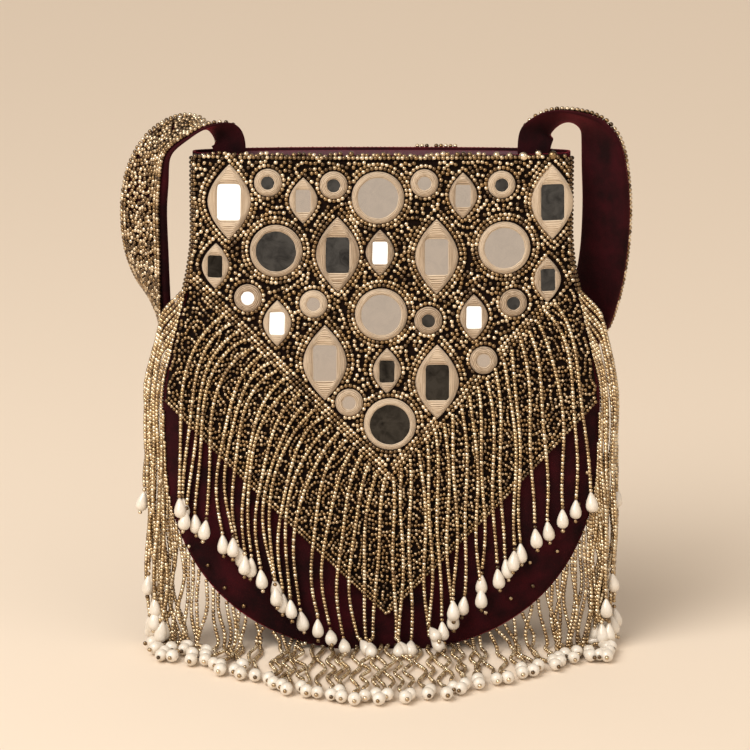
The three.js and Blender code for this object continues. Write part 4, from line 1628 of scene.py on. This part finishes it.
class POTLI_OT_edge_fringe(PieceOperator, Operator):
    """String the fringe of the side and base seams"""

    bl_idname = "potli.edge_fringe"
    bl_label = "Edge fringe"

    def execute(self, context):
        size = sizes()
        rng = random.Random(EDGE_SEED)
        long = size.strand / MM
        seeds = {"side_left": SIDE_LEFT_SEED, "side_right": SIDE_RIGHT_SEED, "floor": FLOOR_SEED}
        groups = {name: Strands(seed) for name, seed in seeds.items()}
        hung = []
        for root in edge_roots(size.edge_spacing / MM, rng):
            points, left = hanging_part(root, long + rng.uniform(-3, 3), 1.4, rng)
            hung.append((points, left, floor_target(points[-1][0], rng)))
        for side in (-1, 1):
            hung += self.curtain(side, rng)
        lying = [index for index, (_, left, _) in enumerate(hung) if left > 6]
        targets = dict(zip(lying, spread_out([hung[index][2] for index in lying], PEARL_GAP)))
        for index, (points, left, _) in enumerate(hung):
            if index in targets:
                rest, way = floor_part(points[-1], targets[index], left, rng)
                pearl_way = unit(way) + np.array([rng.gauss(0, 0.22), -0.5, 0])
                pearl_way[2] = 0.02
                groups["floor"].string(smooth_path(points + rest, 5), pearl_way)
            else:
                group = groups["side_left" if points[0][0] < 0 else "side_right"]
                path = smooth_path(points)
                path[:, 2] = np.maximum(path[:, 2], HANGING_END)
                group.string(path, (rng.gauss(0, 0.1), rng.gauss(-0.06, 0.08), -1))
        for name, group in groups.items():
            node = "floor_fringe" if name == "floor" else f"side_fringe_{name[5:]}"
            finish_strands(group, name, node)
        return {"FINISHED"}

    def curtain(self, side, rng):
        """The long strands that hang from a yoke corner down the side of the pouch."""
        hung = []
        for index, long in enumerate(CURTAIN_LENGTHS):
            share = index / (len(CURTAIN_LENGTHS) - 1)
            height = lerp(*CURTAIN_TOP, share)
            clear = lerp(*CURTAIN_CLEARANCE, 1 - share) + rng.gauss(0, 0.6)
            root = (side * float(half_width(height)), height)
            points, _ = hanging_part(root, min(long, height - 14) + rng.uniform(-3, 3), clear, rng)
            hung.append((points, 0.0, None))
        return hung


class POTLI_OT_mirrors(PieceOperator, Operator):
    """Give the mirrors and the snap their finishes"""

    bl_idname = "potli.mirrors"
    bl_label = "Mirrors and snap"

    def execute(self, context):
        shades = colours()
        # Each mirror's light, grey or dark tint is painted reflection laid under its real mirror reflection
        light = silvered_glass("Silvered glass, clear", list(shades.mirror_bright_reflection), 0.03)
        grey = silvered_glass("Silvered glass, smoky", list(shades.mirror_grey_reflection), 0.08)
        dark = silvered_glass("Silvered glass, blackened", list(shades.mirror_dark_reflection), 0.68)
        brass = polished_brass()
        for name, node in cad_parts.items():
            if name.startswith(("mirror_round", "mirror_tall")):
                finish = light if name[-2:] in BRIGHT_REFLECTION_MIRRORS else dark if name[-2:] in DARK_REFLECTION_MIRRORS else grey
            elif name.startswith("snap"):
                finish = brass
            else:
                continue
            node.data.materials.clear()
            node.data.materials.append(finish)
        return {"FINISHED"}


class POTLI_OT_cloth(PieceOperator, Operator):
    """Does nothing: no flat sizes of the cloth pieces are stated"""

    bl_idname = "potli.cloth"
    bl_label = "Cloth sizes"

    def execute(self, context):
        return {"FINISHED"}


PIECES = (
    POTLI_OT_stage,
    POTLI_OT_pouch,
    POTLI_OT_lining,
    POTLI_OT_yoke,
    POTLI_OT_lower_panel,
    POTLI_OT_back_border,
    POTLI_OT_strap,
    POTLI_OT_front_fringe,
    POTLI_OT_edge_fringe,
    POTLI_OT_mirrors,
    POTLI_OT_cloth,
)


class POTLI_PT_sidebar(Panel):
    """Lists the bag's pieces and settings"""

    bl_idname = "POTLI_PT_sidebar"
    bl_label = "Potli bag"
    bl_space_type = "VIEW_3D"
    bl_region_type = "UI"
    bl_category = "Potli bag"

    def draw(self, context):
        for piece in PIECES:
            self.layout.operator(piece.bl_idname)
        for group in (context.scene.potli_sizes, context.scene.potli_colours):
            box = self.layout.box()
            for name in group.__annotations__:
                box.prop(group, name)


CLASSES = (PotliSizes, PotliColours, *PIECES, POTLI_PT_sidebar)


def register():
    """Register the classes and their settings."""
    for kind in CLASSES:
        bpy.utils.register_class(kind)
    bpy.types.Scene.potli_sizes = PointerProperty(type=PotliSizes)
    bpy.types.Scene.potli_colours = PointerProperty(type=PotliColours)


def unregister():
    """Remove the settings and the classes."""
    del bpy.types.Scene.potli_colours
    del bpy.types.Scene.potli_sizes
    for kind in reversed(CLASSES):
        bpy.utils.unregister_class(kind)


def main():
    """Make every piece in order."""
    register()
    for piece in PIECES:
        group, name = piece.bl_idname.split(".")
        getattr(getattr(bpy.ops, group), name)()
    deselect()


if __name__ == "__main__":
    main()
